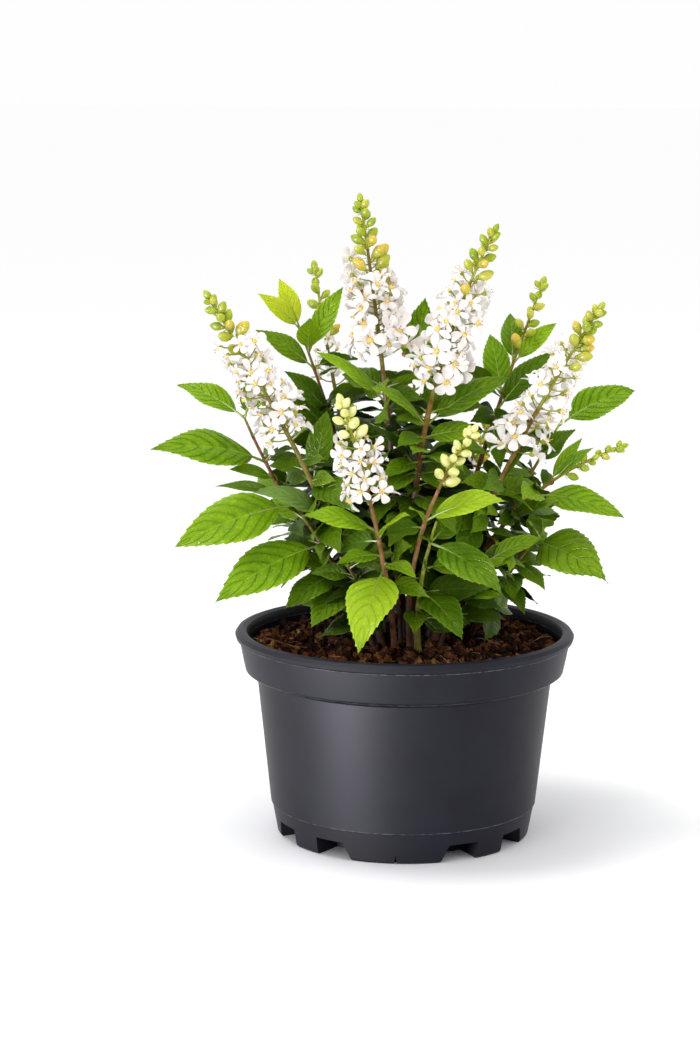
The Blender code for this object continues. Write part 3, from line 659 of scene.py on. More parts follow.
def grow_leaf(sh, tries, towards, leaves, taken, blades, outline=LEAF_OUTLINE):
    """Keep the first of several places for a leaf that has room, if any has."""
    for leaf in tries:
        base = along(sh, leaf.at)
        face = leaf_face(base, leaf.tip, leaf.lean, towards(leaf))
        blade = Blade(sh, base, leaf.tip, leaf.width, face, outline is LEAF_OUTLINE)
        guard = leaf_skin(blade, 0, TEST_MARGIN, outline)
        if min(v.z for v in guard[0]) < LOWEST_LEAF or taken.touches(sh.name, guard):
            continue
        if blades.touches(sh.name, leaf_skin(blade, BLADE_START, TEST_MARGIN, outline), own=True):
            continue
        taken.add(sh.name, leaf_skin(blade, outline=outline))
        blades.add(sh.name, leaf_skin(blade, BLADE_START, outline=outline))
        leaves.append(blade)
        return


def outward(sh, leaf):
    middle = (along(sh, leaf.at) + leaf.tip) / 2
    return Vector((middle.x, middle.y, 0)).normalized()


def grow_by_rule(sh, choices, leaves, taken, blades):
    for tries in choices:
        tries = [leaf for leaf in tries if in_crown(leaf.tip)]
        grow_leaf(sh, tries, lambda leaf: outward(sh, leaf), leaves, taken, blades, PLAIN_OUTLINE)


def grow_plant():
    """The part's leaves in their order, then the scene's denser flowers and its smaller leaves."""
    taken, blades = Taken(), Taken()
    leaves, blossom = [], []
    racemes = [(number, sh) for number, sh in enumerate(SHOOTS) if sh.raceme]
    for sh in SHOOTS:
        taken.add("limb", limb_skin(sh))
        taken.add(sh.name, twig_skin(sh))
        if sh.raceme and sh.raceme.flowers >= FEWEST_FOR_CORE:
            taken.add(sh.name, core_skin(sh))
        if sh.raceme:
            taken.add(sh.name, end_bud(sh))
    for sh in SHOOTS:
        for leaf in sh.leaves:
            tries = [leaf._replace(tip=leaf.tip + BACK * shift) for shift in DEPTH_TRIES]
            grow_leaf(sh, tries, lambda leaf: FRONT, leaves, taken, blades)
    for number, sh in racemes:
        part_raceme(sh, number, taken, blades)
    for number, sh in enumerate(SHOOTS):
        grow_by_rule(sh, rule_leaves(sh, LEAF_SEED + number), leaves, taken, blades)
    for number, sh in racemes:
        blossom += dense_raceme(sh, number, taken, leaves)
    for number, sh in enumerate(SHOOTS):
        extra = 0 if sh.name in FRONT_SHOOTS else EXTRA_PAIRS
        fuller = sh._replace(pairs=sh.pairs + extra, turn=sh.turn + EXTRA_TURN)
        choices = rule_leaves(fuller, EXTRA_LEAF_SEED + number)
        choices = [[smaller(sh, leaf) for leaf in tries] for tries in choices]
        grow_by_rule(sh, choices, leaves, taken, blades)
    return leaves, blossom


def smaller(sh, leaf):
    base = along(sh, leaf.at)
    return leaf._replace(tip=base + (leaf.tip - base) * EXTRA_SIZE, width=leaf.width * EXTRA_SIZE)


def dense_raceme(sh, number, taken, leaves):
    """More flowers and buds than the part's, to the same reach round the same axis."""
    near = Taken()
    for blade in leaves:
        if (blade.base - sh.tip).length < NEAR_RACEME:
            near.add("leaf", leaf_skin(blade, BLADE_START))
    pale = sh.name in PALE_BUDS
    dice = random.Random(EXTRA_FLOWER_SEED + number)
    blooms = []
    for root, axis, out, share in flower_sites(sh, number, FLOWERS_PER_SITE):
        if out.dot(FRONT) > LANE_WIDTH and share > LANE_START and dice.random() < LANE_THINNING:
            continue
        reach = sh.raceme.reach * (1 - FLOWER_SHRINK * share) * dice.uniform(*FLOWER_RANGE)
        solid = flower_skin(root, axis, out, reach)
        if taken.touches(sh.name, solid) or near.touches("", solid):
            continue
        shut = share > LAST_OPEN and dice.random() < SHUT_SHARE
        kind, age = ("bud", 0.0) if shut else ("flower", share)
        blooms.append(Bloom(kind, root, axis, out, reach, BUD_SIZE, age, pale))
        taken.add(sh.name, solid)
    for root, axis, out, share in bud_sites(sh, number, BUDS_PER_SITE):
        size, reach = bud_measures(sh.raceme, share)
        solid = bud_skin(root, axis, out, reach, size)
        if taken.touches(sh.name, solid) or near.touches("", solid):
            continue
        age = 1.0 if sh.name in GREEN_BUDS else share
        blooms.append(Bloom("bud", root, axis, out, reach, size, age, pale))
        taken.add(sh.name, solid)
    return blooms + end_buds(sh, pale, dice)


def end_buds(sh, pale, dice):
    """A few buds close together round the end of a raceme, with one straight on from its stem."""
    axis = heading(sh, 1)
    side, other = across(axis)
    size = bud_measures(sh.raceme, 1)[0]
    blooms = [Bloom("bud", sh.tip - axis * (size / 4), axis, axis, size, size, 1.0, pale)]
    root = sh.tip - axis * (size * 0.65)
    for k in range(3):
        out = turned_to(side, other, 2 * math.pi * k / 3 + dice.uniform(-0.4, 0.4))
        blooms.append(Bloom("bud", root, axis, out, size * 1.05, size * 0.95, 1.0, pale))
    return blooms


# Fine meshes

class Pile:
    """Points, faces and surface coordinates gathered into one mesh object."""

    def __init__(self):
        self.verts = []
        self.faces = []
        self.uvs = []

    def add(self, verts, faces, uvs=None):
        first = len(self.verts)
        self.verts += verts
        self.faces += [tuple(first + i for i in face) for face in faces]
        self.uvs += uvs if uvs else [(0.0, 0.0)] * len(verts)

    def build(self, name, mat, slot, *nodes, crease=None):
        mesh = new_mesh(name, self.verts, self.faces)
        layer = mesh.uv_layers.new(name="Along")
        for loop in mesh.loops:
            layer.data[loop.index].uv = self.uvs[loop.vertex_index]
        obj = dress(name, mesh, mat, slot, *nodes)
        if crease:
            mesh.set_sharp_from_angle(angle=math.radians(crease))
        return obj


def new_mesh(name, verts, faces):
    mesh = bpy.data.meshes.new(name)
    mesh.from_pydata([tuple(v) for v in verts], [], faces)
    return mesh


def dress(name, mesh, mat, slot, *nodes):
    """An object for a mesh, smooth, with its material, on the plant's one body."""
    mesh.materials.append(mat)
    mesh.shade_smooth()
    obj = bpy.data.objects.new(name, mesh)
    bpy.context.scene.collection.objects.link(obj)
    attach(obj, "root")
    if nodes:
        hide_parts(*nodes)
    return obj


def loft(pile, rings, uvs=None):
    """Quads over rings of the same count, closed at both ends."""
    pile.add(*skin(rings, quads=True), uvs)


def tube(pile, points, radii, sides, flat=1.0, hint=FRONT):
    """A tube through points; flat below 1 presses it thinner along the hint."""
    rings = []
    for k, point in enumerate(points):
        ahead = points[min(k + 1, len(points) - 1)]
        behind = points[max(k - 1, 0)]
        side, other = across((ahead - behind).normalized(), hint)
        rings.append(circle(point, side, other * flat, radii[k], sides))
    loft(pile, rings)


def turned_ball(pile, centre, way, radius, outline, sides):
    """A small solid turned about way; its outline gives shares along and across the radius."""
    side, other = across(way)
    rings = []
    for height, spread in outline:
        point = centre + way * (radius * height)
        rings.append([point] if spread == 0 else circle(point, side, other, radius * spread, sides))
    pile.add(*skin(rings))


BALL = ((-1, 0), (-0.62, 0.78), (0.25, 0.97), (0.75, 0.66), (1, 0))
BUD_SHAPE = ((-1.5, 0), (-1.34, 0.34), (-0.95, 0.72), (-0.4, 0.96), (0.15, 1.0), (0.75, 0.83),
             (1.25, 0.50), (1.5, 0.22), (1.58, 0))
BUD_CAP = ((0.1, 0), (0.18, 1.0), (0.77, 0.86), (1.27, 0.53), (1.53, 0.25), (1.62, 0))
CUP_SHAPE = ((-1.0, 0), (-0.9, 0.35), (-0.3, 0.85), (0.4, 1.0), (0.5, 0))


# Leaves

def half_width(u, fullness):
    """The outline of a blade as a share of its greatest half width; a full one is widest near its foot."""
    foot = 0.8 - 0.2 * fullness
    point = 1.25 + 0.2 * fullness
    widest = foot / (foot + point)
    return u ** foot * (1 - u) ** point / (widest ** foot * (1 - widest) ** point)


def quilt(u, away):
    """The blade's rise between two veins, from 0 on a vein to 1."""
    phase = (u - VEIN_SWEEP * away - VEIN_BEND * away ** 3) * VEIN_PAIRS % 1.0
    return math.sin(math.pi * phase) ** 0.5 * math.sin(math.pi * away) ** 0.5


def fine_leaf(pile, blade, rows, columns, dice):
    """A toothed blade quilted between its veins, closed and thin at its edge."""
    width, length = blade.width, (blade.tip - blade.base).length
    fullness = max(0.0, min(1.0, (width / length - 0.40) * 7))
    wave = dice.uniform(0, 2 * math.pi)
    curl = dice.uniform(*CURL_RANGE)
    droop = dice.uniform(*DROOP_RANGE) * length
    ripple = dice.uniform(*RIPPLE_RANGE) * width
    spots = [(c, 1) for c in range(columns + 1)] + [(c, -1) for c in range(columns - 1, 0, -1)]
    rings, uvs = [], []
    for row in range(rows + 1):
        u = row / rows
        centre, axis, side, normal = leaf_course(blade, STALK_END + (1 - STALK_END) * u)
        half = max(half_width(u, fullness) * width / 2, LEAST_HALF_WIDTH)
        thick = BLADE_THICKNESS * length * math.sin(math.pi * min(0.96, 0.2 + u * 0.76))
        toothed = TOOTHED_RANGE[0] < u < TOOTHED_RANGE[1]
        on_tooth = toothed * (row % ROWS_PER_TOOTH) / (ROWS_PER_TOOTH - 1)
        ring = []
        for column, level in spots:
            v = 2 * column / columns - 1
            away = abs(v)
            out, ahead = half * v, 0.0
            if away == 1:
                out += v * TOOTH_DEPTH * width * on_tooth * (0.5 + half / width)
                ahead = TOOTH_LEAN * length / rows * (on_tooth == 1)
            lift = LEAF_FOLD * half * away - curl * half * away ** 3 - droop * u ** 4
            lift += QUILT_DEPTH * half * quilt(u, away) + ripple * away ** 2 * math.sin(u * 11 + wave + 2 * v)
            lift += level * thick / 2 * (1 - away ** 2)
            ring.append(centre + side * out + axis * ahead + normal * lift)
            uvs.append((u, 0.5 + 0.5 * v))
        rings.append(ring)
    loft(pile, rings, uvs)


def leaf_rib(pile, blade):
    """The leaf's stalk, which runs on as a pale midrib along the foot of the blade."""
    size = min(1.2, blade.width / (24 * MM) + 0.35)
    end, count = PLACED_RIB if blade.placed else RULE_RIB
    points, radii = [], []
    for k in range(count + 1):
        share = end * k / count
        centre = leaf_course(blade, share)[0]
        in_blade = max(0.0, share - STALK_END)
        points.append(centre + blade.face * (RIB_LIFT if in_blade else 0))
        radii.append((0.80 - 0.20 * k / count - 0.50 * min(1.0, 3 * in_blade)) * size * MM)
    tube(pile, points, radii, 6, 1.0, blade.face)


# Flowers and buds

BLOSSOM_SHAPE_SEED = 23
PETALS = 5
PETAL_ROWS = (0.0, 0.2, 0.42, 0.62, 0.79, 0.91, 0.98, 1.0)
PETAL_WIDEST = 0.66
PETAL_FOOT = 0.11
PETAL_HALF = 0.34
STAMENS = 3
THREAD_RADII = (0.20 * MM, 0.14 * MM)
FLOWER_STALK = (0.55 * MM, 0.42 * MM, 0.6 * MM)
BUD_STALK = (0.6 * MM, 0.5 * MM, 0.6 * MM)
BRACT_RADII = (0.4 * MM, 0.75 * MM, 0.1 * MM)
BRACT_LENGTH = (3.5 * MM, 6.0 * MM)


def petal_half(u):
    """Half a petal's width: narrow at its foot, widest past its middle, with a round end."""
    if u < PETAL_WIDEST:
        rise = u / PETAL_WIDEST
        return PETAL_FOOT + (PETAL_HALF - PETAL_FOOT) * rise * rise * (3 - 2 * rise)
    return PETAL_HALF * math.sqrt(max(0.03, 1 - ((u - PETAL_WIDEST) / 0.345) ** 2))


def fine_petal(pile, centre, look, out, size, cup, dice):
    """One petal, hollow along its middle, turned back at its end."""
    side = look.cross(out)
    twist = dice.uniform(-0.4, 0.4)
    back = dice.uniform(0.1, 1.1)
    broad = dice.uniform(0.65, 1.12)
    spots = [(v, 1) for v in (-1, -0.5, 0, 0.5, 1)] + [(v, -1) for v in (0.5, 0, -0.5)]
    rings = []
    for u in PETAL_ROWS:
        half = size * broad * petal_half(u)
        rise = size * (cup * u - back * u ** 3 * 0.5)
        ring = []
        for v, level in spots:
            hollow = 0.10 * size * v * v * math.sin(math.pi * min(u, 0.9))
            lift = rise + hollow + twist * half * v + level * 0.012 * size * (1 - v * v)
            reach = size * (0.06 + 0.94 * u) - 0.05 * size * (u == 1.0) * (1 - abs(v))
            ring.append(centre + out * reach + side * (half * v) + look * lift)
        rings.append(ring)
    loft(pile, rings)


def fine_flower(piles, bloom, dice):
    """Five white petals round a yellow throat with a few anthers, in a green cup on a thin stalk."""
    nod = Vector([dice.uniform(-0.65, 0.65) for _ in range(3)])
    way = (bloom.out + bloom.axis * FLOWER_RISE).normalized()
    centre = bloom.root + way * (bloom.reach * FLOWER_PLACE)
    look = (way + nod).normalized()
    size = bloom.reach * dice.uniform(0.42, 0.52)
    side, other = across(look)
    turn = dice.uniform(0, 2 * math.pi)
    cup = dice.uniform(0.0, 0.9)
    for k in range(PETALS):
        out = turned_to(side, other, turn + 2 * math.pi * k / PETALS + dice.uniform(-0.12, 0.12))
        fine_petal(piles["petal"], centre, look, out, size * dice.uniform(0.88, 1.08), cup, dice)
    turned_ball(piles["throat"], centre + look * size * 0.09, look, size * 0.19, BALL, 7)
    for k in range(STAMENS):
        stray = turned_to(side, other, turn + 0.6 + 2 * math.pi * k / STAMENS + dice.uniform(-0.4, 0.4))
        way_out = (look + stray * dice.uniform(0.2, 0.7)).normalized()
        end = centre + way_out * size * dice.uniform(0.30, 0.55)
        tube(piles["thread"], [centre, end], THREAD_RADII, 3)
        turned_ball(piles["anther"], end, way_out, size * 0.05, BALL, 5)
    if dice.random() < WITHERED_SHARE:
        rest = centre - look * size * 0.2 + side * size * dice.uniform(-0.6, 0.6) - UP * size * 0.5
        turned_ball(piles["withered"], rest, (look - UP).normalized(), size * 0.12, BUD_SHAPE, 7)
    back = centre - look * size * 0.10
    turned_ball(piles["cup"], back, look, size * 0.20, CUP_SHAPE, 7)
    bend = (bloom.root + back) / 2 - UP * 0.8 * MM
    tube(piles["stalk"], [bloom.root, bend, back], FLOWER_STALK, 5)


def fine_bud(piles, bloom, dice):
    """An oval bud in a small cup, on a thin stalk with a bract at its foot."""
    way = (bloom.out + bloom.axis * BUD_RISE).normalized()
    size = bloom.size * dice.uniform(0.95, 1.2)
    middle = bloom.root + way * (bloom.reach - size * 0.5)
    tint = "pale" if bloom.pale else ("warm" if bloom.share < 0.3 or dice.random() < 0.25 else "green")
    turned_ball(piles["bud_" + tint], middle, way, size * BUD_GIRTH, BUD_SHAPE, 10)
    if tint != "pale" and bloom.share < 0.5 and dice.random() < 0.5:
        turned_ball(piles["bud_tip"], middle, way, size * (BUD_GIRTH + 0.01), BUD_CAP, 10)
    foot = middle - way * size * 0.45
    turned_ball(piles["cup"], foot, way, size * 0.19, CUP_SHAPE, 7)
    bend = (bloom.root + foot) / 2 - UP * 0.6 * MM
    tube(piles["stalk"], [bloom.root, bend, foot], BUD_STALK, 5)
    fine_bract(piles["stalk"], bloom, dice)


def fine_bract(pile, bloom, dice):
    """A tiny pointed leaf at the foot of a stalk."""
    way = (bloom.out + bloom.axis * 0.2 - UP * 0.2).normalized()
    length = dice.uniform(*BRACT_LENGTH)
    foot = bloom.root - bloom.axis * 0.8 * MM
    points = [foot, foot + way * length * 0.45, foot + way * length]
    tube(pile, points, BRACT_RADII, 4, 0.3, bloom.axis)


# Stems

def stem_points(sh, start, end, count):
    """Points and radii for one stretch of a shoot, which wanders a little and swells at its joints."""
    points, radii = [], []
    for k in range(count + 1):
        t = start + (end - start) * k / count
        wander = noise.noise_vector(Vector((t * 9, sh.foot.x * 900, sh.foot.y * 700))) * WANDER
        joint = max(math.exp(-(((t - at) / JOINT_SHARE) ** 2)) for at in joints(sh))
        grain = noise.noise(Vector((t * 60, sh.foot.x * 500, 0)))
        points.append(along(sh, t) + wander * min(1.0, 8 * t, 8 * (1 - t)))
        radii.append(radius_at(sh, t) * (1 + JOINT_SWELL * joint + GRAIN_SWELL * grain))
    return points, radii


def fine_stem(piles, sh):
    """A shoot in stretches, brown at its foot and greener towards its tip."""
    top = sh.raceme
    ripe = top.flowers_from - 0.02 if top else 0.8
    kinds = STEM_KINDS.get(sh.name, OTHER_STEM_KINDS).split()
    ends = (0.0, ripe * 0.45, ripe * 0.8, ripe, ripe + (1 - ripe) * 0.35, ripe + (1 - ripe) * 0.7, 1.0)
    for kind, start, end in zip(kinds, ends, ends[1:]):
        count = max(3, round(STEM_RINGS * (end - start)))
        points, radii = stem_points(sh, start, min(1.0, end + STRETCH_OVERLAP), count)
        tube(piles[kind], points, radii, STEM_SIDES)


# Materials

def principled(name, colour, roughness, specular=0.5):
    mat = bpy.data.materials.new(name)
    mat.use_nodes = True
    shader = mat.node_tree.nodes["Principled BSDF"]
    shader.inputs["Base Color"].default_value = (*colour, 1)
    shader.inputs["Roughness"].default_value = roughness
    shader.inputs["Specular IOR Level"].default_value = specular
    return mat, Graph(mat.node_tree), shader


class Graph:
    """Short calls that add nodes to a material."""

    def __init__(self, tree):
        self.tree = tree

    def node(self, kind, *values, **settings):
        made = self.tree.nodes.new(kind)
        for key, value in settings.items():
            setattr(made, key, value)
        for socket, value in zip(made.inputs, values):
            self.fill(socket, value)
        return made

    def fill(self, socket, value):
        if isinstance(value, bpy.types.NodeSocket):
            self.tree.links.new(value, socket)
        elif isinstance(value, tuple):
            socket.default_value = (*value, 1)
        elif value is not None:
            socket.default_value = value

    def math(self, operation, *values):
        return self.node("ShaderNodeMath", *values, operation=operation).outputs[0]

    def times(self, a, b, plus=0.0):
        """a times b, with a third value added."""
        return self.math("MULTIPLY_ADD", a, b, plus)

    def place(self):
        return self.node("ShaderNodeTexCoord").outputs["Object"]

    def noise(self, scale, detail=3.0):
        return self.node("ShaderNodeTexNoise", self.place(), None, scale, detail).outputs["Fac"]

    def ramp(self, value, stops):
        made = self.node("ShaderNodeValToRGB", value)
        band = made.color_ramp
        while len(band.elements) < len(stops):
            band.elements.new(0.5)
        for element, (place, colour) in zip(band.elements, stops):
            element.position = place
            element.color = (*colour, 1)
        return made.outputs["Color"]

    def mix(self, share, a, b):
        made = self.node("ShaderNodeMix", data_type="RGBA")
        for number, value in ((0, share), (6, a), (7, b)):
            self.fill(made.inputs[number], value)
        return made.outputs[2]

    def bump(self, height, strength, distance, shader):
        made = self.node("ShaderNodeBump")
        for key, value in (("Strength", strength), ("Distance", distance), ("Height", height)):
            self.fill(made.inputs[key], value)
        self.fill(shader.inputs["Normal"], made.outputs["Normal"])


def leaf_material(name, dark, light, relief):
    """Green with painted light and shade: lighter on the domes between the veins and in the small cells,
    darker along the sunken veins, with a pale rim.
    """
    mat, graph, shader = principled(name, light, 0.34, 0.2 * relief)
    shader.inputs["Specular Tint"].default_value = (0.85, 1.0, 0.4, 1.0)
    place = graph.node("ShaderNodeUVMap", uv_map="Along").outputs["UV"]
    split = graph.node("ShaderNodeSeparateXYZ", place)
    u = split.outputs["X"]
    away = graph.math("ABSOLUTE", graph.times(split.outputs["Y"], 2.0, -1.0))
    sweep = graph.times(away, VEIN_SWEEP, graph.times(graph.math("POWER", away, 3.0), VEIN_BEND))
    start = graph.math("SUBTRACT", graph.times(graph.noise(90, 1.0), 0.04, u), sweep)
    phase = graph.math("FRACT", graph.times(start, float(VEIN_PAIRS)))
    dome = graph.math("SINE", graph.times(phase, math.pi))
    off_vein = graph.math("SMOOTH_MIN", graph.times(dome, 5.0), 1.0, 0.3)
    net = small_net(graph, place)
    island = graph.node("ShaderNodeNewGeometry").outputs["Random Per Island"]
    # Painted light and shade: the tone rises on the domes between the veins and inside the cells of the small
    # net, as if lit there
    tone = graph.times(graph.noise(70, 2.0), 0.7, 0.30 - 0.44 * relief)
    for part, weight in ((dome, 0.34 * relief), (net, 0.30 * relief), (u, 0.22), (island, -0.45)):
        tone = graph.times(part, weight, tone)
    shade = graph.ramp(tone, ((0.0, dark), (1.0, light)))
    # Partly the veins' own colour, partly painted shade: the vein lines are darkened as if shaded in their
    # furrows
    vein_shade = graph.times(graph.math("SUBTRACT", 1.0, off_vein), 0.3 * relief)
    veined = graph.mix(vein_shade, shade, tuple(0.8 * c for c in dark))
    edge = graph.math("POWER", away, 16.0)
    middle = graph.times(graph.math("POWER", graph.math("SUBTRACT", 1.0, away), 40.0), 0.8)
    pale = graph.times(graph.math("MAXIMUM", edge, middle), 0.6)
    pale_green = tuple(1.15 * c + 0.02 for c in light)
    graph.fill(shader.inputs["Base Color"], graph.mix(pale, veined, pale_green))
    height = graph.times(graph.noise(420, 2.0), 0.4, graph.times(net, 0.5, off_vein))
    graph.bump(height, 0.9 * relief, 0.5 * MM, shader)
    return mat


def small_net(graph, place):
    """The fine net of veins between the side veins: 0 on its threads, 1 inside its cells."""
    cells = graph.node("ShaderNodeVectorMath", place, operation="MULTIPLY")
    cells.inputs[1].default_value = (22.0, 11.0, 1.0)
    net = graph.node("ShaderNodeTexVoronoi", cells.outputs[0], None, 1.0, feature="DISTANCE_TO_EDGE")
    return graph.math("SMOOTH_MIN", graph.times(net.outputs["Distance"], 3.2), 1.0, 0.3)


def speckled(name, dark, light, scale, roughness, strength=0.2, distance=0.4 * MM, specular=0.5):
    """A surface that wanders between two colours, with a fine relief."""
    mat, graph, shader = principled(name, light, roughness, specular)
    colour = graph.ramp(graph.noise(scale), ((0.32, dark), (0.68, light)))
    graph.fill(shader.inputs["Base Color"], colour)
    graph.bump(graph.noise(scale * 4), strength, distance, shader)
    return mat


# The plant

# Leaf greens: a dark and a light colour, and the strength of the relief. Partly the leaves' own greens, from
# young lime to old deep; partly painted light and shade: the sunlit and bright greens paint light onto
# leaves, the darkest green paints shade, and the grey green paints a pale sheen.
GREENS = {
    "lime": ((0.34, 0.45, 0.008), (0.56, 0.63, 0.030), 0.6),
    "sunny": ((0.17, 0.31, 0.003), (0.40, 0.57, 0.024), 0.7),
    "bright": ((0.12, 0.25, 0.002), (0.34, 0.53, 0.018), 0.8),
    "fresh": ((0.078, 0.185, 0.001), (0.27, 0.45, 0.010), 0.9),
    "plain": ((0.050, 0.13, 0.001), (0.20, 0.34, 0.006), 0.9),
    "mid": ((0.030, 0.084, 0.001), (0.13, 0.235, 0.004), 0.7),
    "deep": ((0.010, 0.032, 0.001), (0.056, 0.115, 0.002), 0.6),
    "shade": ((0.003, 0.011, 0.001), (0.019, 0.044, 0.001), 0.5),
    "grey": ((0.085, 0.17, 0.022), (0.23, 0.37, 0.085), 0.8),
}

# The green of each given leaf, in the order of the shoot's leaves
# Partly each leaf's own green, partly painted light and shade: lighter greens on leaves that are lit, darker
# ones on leaves in shade
PLACED_GREENS = {
    "west": "grey mid",
    "centre": "bright",
    "mid_east": "plain plain mid deep plain",
    "east": "mid",
    "back_east": "plain bright fresh mid mid",
    "leafy_back_west": "lime lime sunny bright plain mid mid",
    "outer_west": "fresh fresh fresh mid plain",
    "low_west": "fresh fresh mid plain",
    "front_west": "bright sunny fresh sunny bright",
    "front_east": "sunny bright",
    "low_raceme": "fresh plain fresh fresh",
    "leafy_east": "fresh mid mid",
    "low_east": "plain fresh mid plain fresh",
    "green_front": "plain mid plain",
    "north": "fresh",
    "inner_east": "plain",
}

STEM_COLOURS = {
    "umber": ((0.038, 0.015, 0.005), (0.11, 0.045, 0.016)),
    "bark": ((0.095, 0.034, 0.009), (0.24, 0.095, 0.028)),
    "tan": ((0.15, 0.082, 0.014), (0.31, 0.19, 0.045)),
    "rosy": ((0.20, 0.085, 0.028), (0.40, 0.205, 0.085)),
    "olive": ((0.15, 0.12, 0.012), (0.30, 0.24, 0.04)),
    "green": ((0.20, 0.22, 0.015), (0.36, 0.37, 0.05)),
    "tip": ((0.28, 0.34, 0.02), (0.45, 0.50, 0.06)),
}

# The colours of each shoot's stretches, from its foot to its tip
STEM_KINDS = {
    "west": "umber tan olive olive green tip",
    "east": "bark tan tan tan green tip",
    "front_west": "bark rosy rosy tan green tip",
    "front_east": "bark rosy rosy tan green tip",
    "green_front": "olive green green green tip tip",
    "low_raceme": "umber bark tan green green tip",
    "outer_west": "umber bark bark bark tan olive",
    "leafy_back_west": "umber bark bark bark tan olive",
}
OTHER_STEM_KINDS = "umber bark tan olive olive tip"

# The greens of the leaves grown by rule, lighter outside and deep inside: partly older leaves within, partly
# painted shade for the shade inside the crown
HIGH_LEAF = 290 * MM
LOW_LEAF = 230 * MM
OUTER_LEAF = 92 * MM
MIDDLE_LEAF = 65 * MM
INNER_LEAF = 50 * MM
OUTER_GREENS = ("plain", "mid", "fresh")
MIDDLE_GREENS = ("mid", "plain")
INNER_GREENS = ("mid", "deep", "shade", "deep", "plain", "shade")
LOW_GREENS = ("deep", "mid", "shade", "mid", "deep", "plain")
LOW_INNER_GREENS = ("shade", "deep", "shade", "shade")


def green_of(blade, number):
    """The listed green of a given leaf, or the next of the greens for where the leaf ends."""
    tip, sh = blade.tip, blade.shoot
    if blade.placed:
        spots = [(leaf.tip.x, leaf.tip.z) for leaf in sh.leaves]
        return PLACED_GREENS[sh.name].split()[spots.index((tip.x, tip.z))]
    # Painted shade: the lower and nearer the middle a leaf ends, the darker its green
    reach = math.hypot(tip.x, tip.y - 30 * MM)
    if reach > OUTER_LEAF or tip.z > HIGH_LEAF:
        greens = OUTER_GREENS
    elif tip.z < LOW_LEAF:
        greens = LOW_INNER_GREENS if reach < INNER_LEAF else LOW_GREENS
    else:
        greens = MIDDLE_GREENS if reach > MIDDLE_LEAF else INNER_GREENS
    return greens[number % len(greens)]


def make_plant():
    leaves, blossom = grow_plant()
    greens = {kind: Pile() for kind in GREENS}
    ribs = Pile()
    dice = random.Random(LEAF_SHAPE_SEED)
    for number, blade in enumerate(leaves):
        rows, columns = PLACED_GRID if blade.placed else RULE_GRID
        fine_leaf(greens[green_of(blade, number)], blade, rows, columns, dice)
        leaf_rib(ribs, blade)
    for kind, pile in greens.items():
        masses = ["foliage_" + sh.name for sh in SHOOTS] if kind == "fresh" else []
        look = leaf_material("leaf_" + kind, *GREENS[kind])
        pile.build("leaves_" + kind, look, "foliage", *masses, crease=100)
    rib_look = speckled("rib_look", (0.17, 0.25, 0.02), (0.30, 0.40, 0.05), 120, 0.5)
    ribs.build("leaf_stalks", rib_look, "foliage")
    stems = {kind: Pile() for kind in STEM_COLOURS}
    for sh in SHOOTS:
        fine_stem(stems, sh)
    for kind, pile in stems.items():
        limbs = ["stem_" + sh.name for sh in SHOOTS] if kind == "umber" else []
        look = speckled("stem_" + kind + "_look", *STEM_COLOURS[kind], 180, 0.6, 0.5, specular=0.1)
        pile.build("stems_" + kind, look, "bark", *limbs)
    make_blossom(blossom)


BLOSSOM_COLOURS = {
    "petal": ((0.90, 0.84, 0.81), (0.96, 0.92, 0.91), 150, 0.5),
    "throat": ((0.78, 0.55, 0.07), (0.92, 0.78, 0.28), 900, 0.5),
    "thread": ((0.86, 0.76, 0.42), (0.92, 0.86, 0.60), 900, 0.5),
    "anther": ((0.42, 0.14, 0.03), (0.72, 0.36, 0.08), 900, 0.5),
    "withered": ((0.34, 0.13, 0.04), (0.62, 0.33, 0.13), 600, 0.7),
    "stalk": ((0.26, 0.26, 0.015), (0.44, 0.44, 0.045), 300, 0.5),
    "cup": ((0.30, 0.34, 0.02), (0.48, 0.50, 0.06), 400, 0.5),
    "bud_green": ((0.25, 0.35, 0.010), (0.47, 0.53, 0.055), 110, 0.42),
    "bud_warm": ((0.35, 0.41, 0.020), (0.62, 0.58, 0.10), 110, 0.42),
    "bud_tip": ((0.55, 0.50, 0.05), (0.75, 0.48, 0.08), 160, 0.4),
    "bud_pale": ((0.62, 0.64, 0.13), (0.93, 0.88, 0.46), 140, 0.4),
}


def make_blossom(blossom):
    piles = {kind: Pile() for kind in BLOSSOM_COLOURS}
    dice = random.Random(BLOSSOM_SHAPE_SEED)
    for bloom in blossom:
        if bloom.kind == "flower":
            fine_flower(piles, bloom, dice)
        else:
            fine_bud(piles, bloom, dice)
    for kind, pile in piles.items():
        look = speckled("blossom_" + kind + "_look", *BLOSSOM_COLOURS[kind], 0.05, specular=0.15)
        if kind == "petal":
            shader = look.node_tree.nodes["Principled BSDF"]
            shader.inputs["Subsurface Weight"].default_value = 0.15
            shader.inputs["Subsurface Radius"].default_value = (1.0, 0.8, 0.75)
            shader.inputs["Subsurface Scale"].default_value = 3 * MM
        pile.build("blossom_" + kind, look, "foliage", crease=100)


# Pot and soil

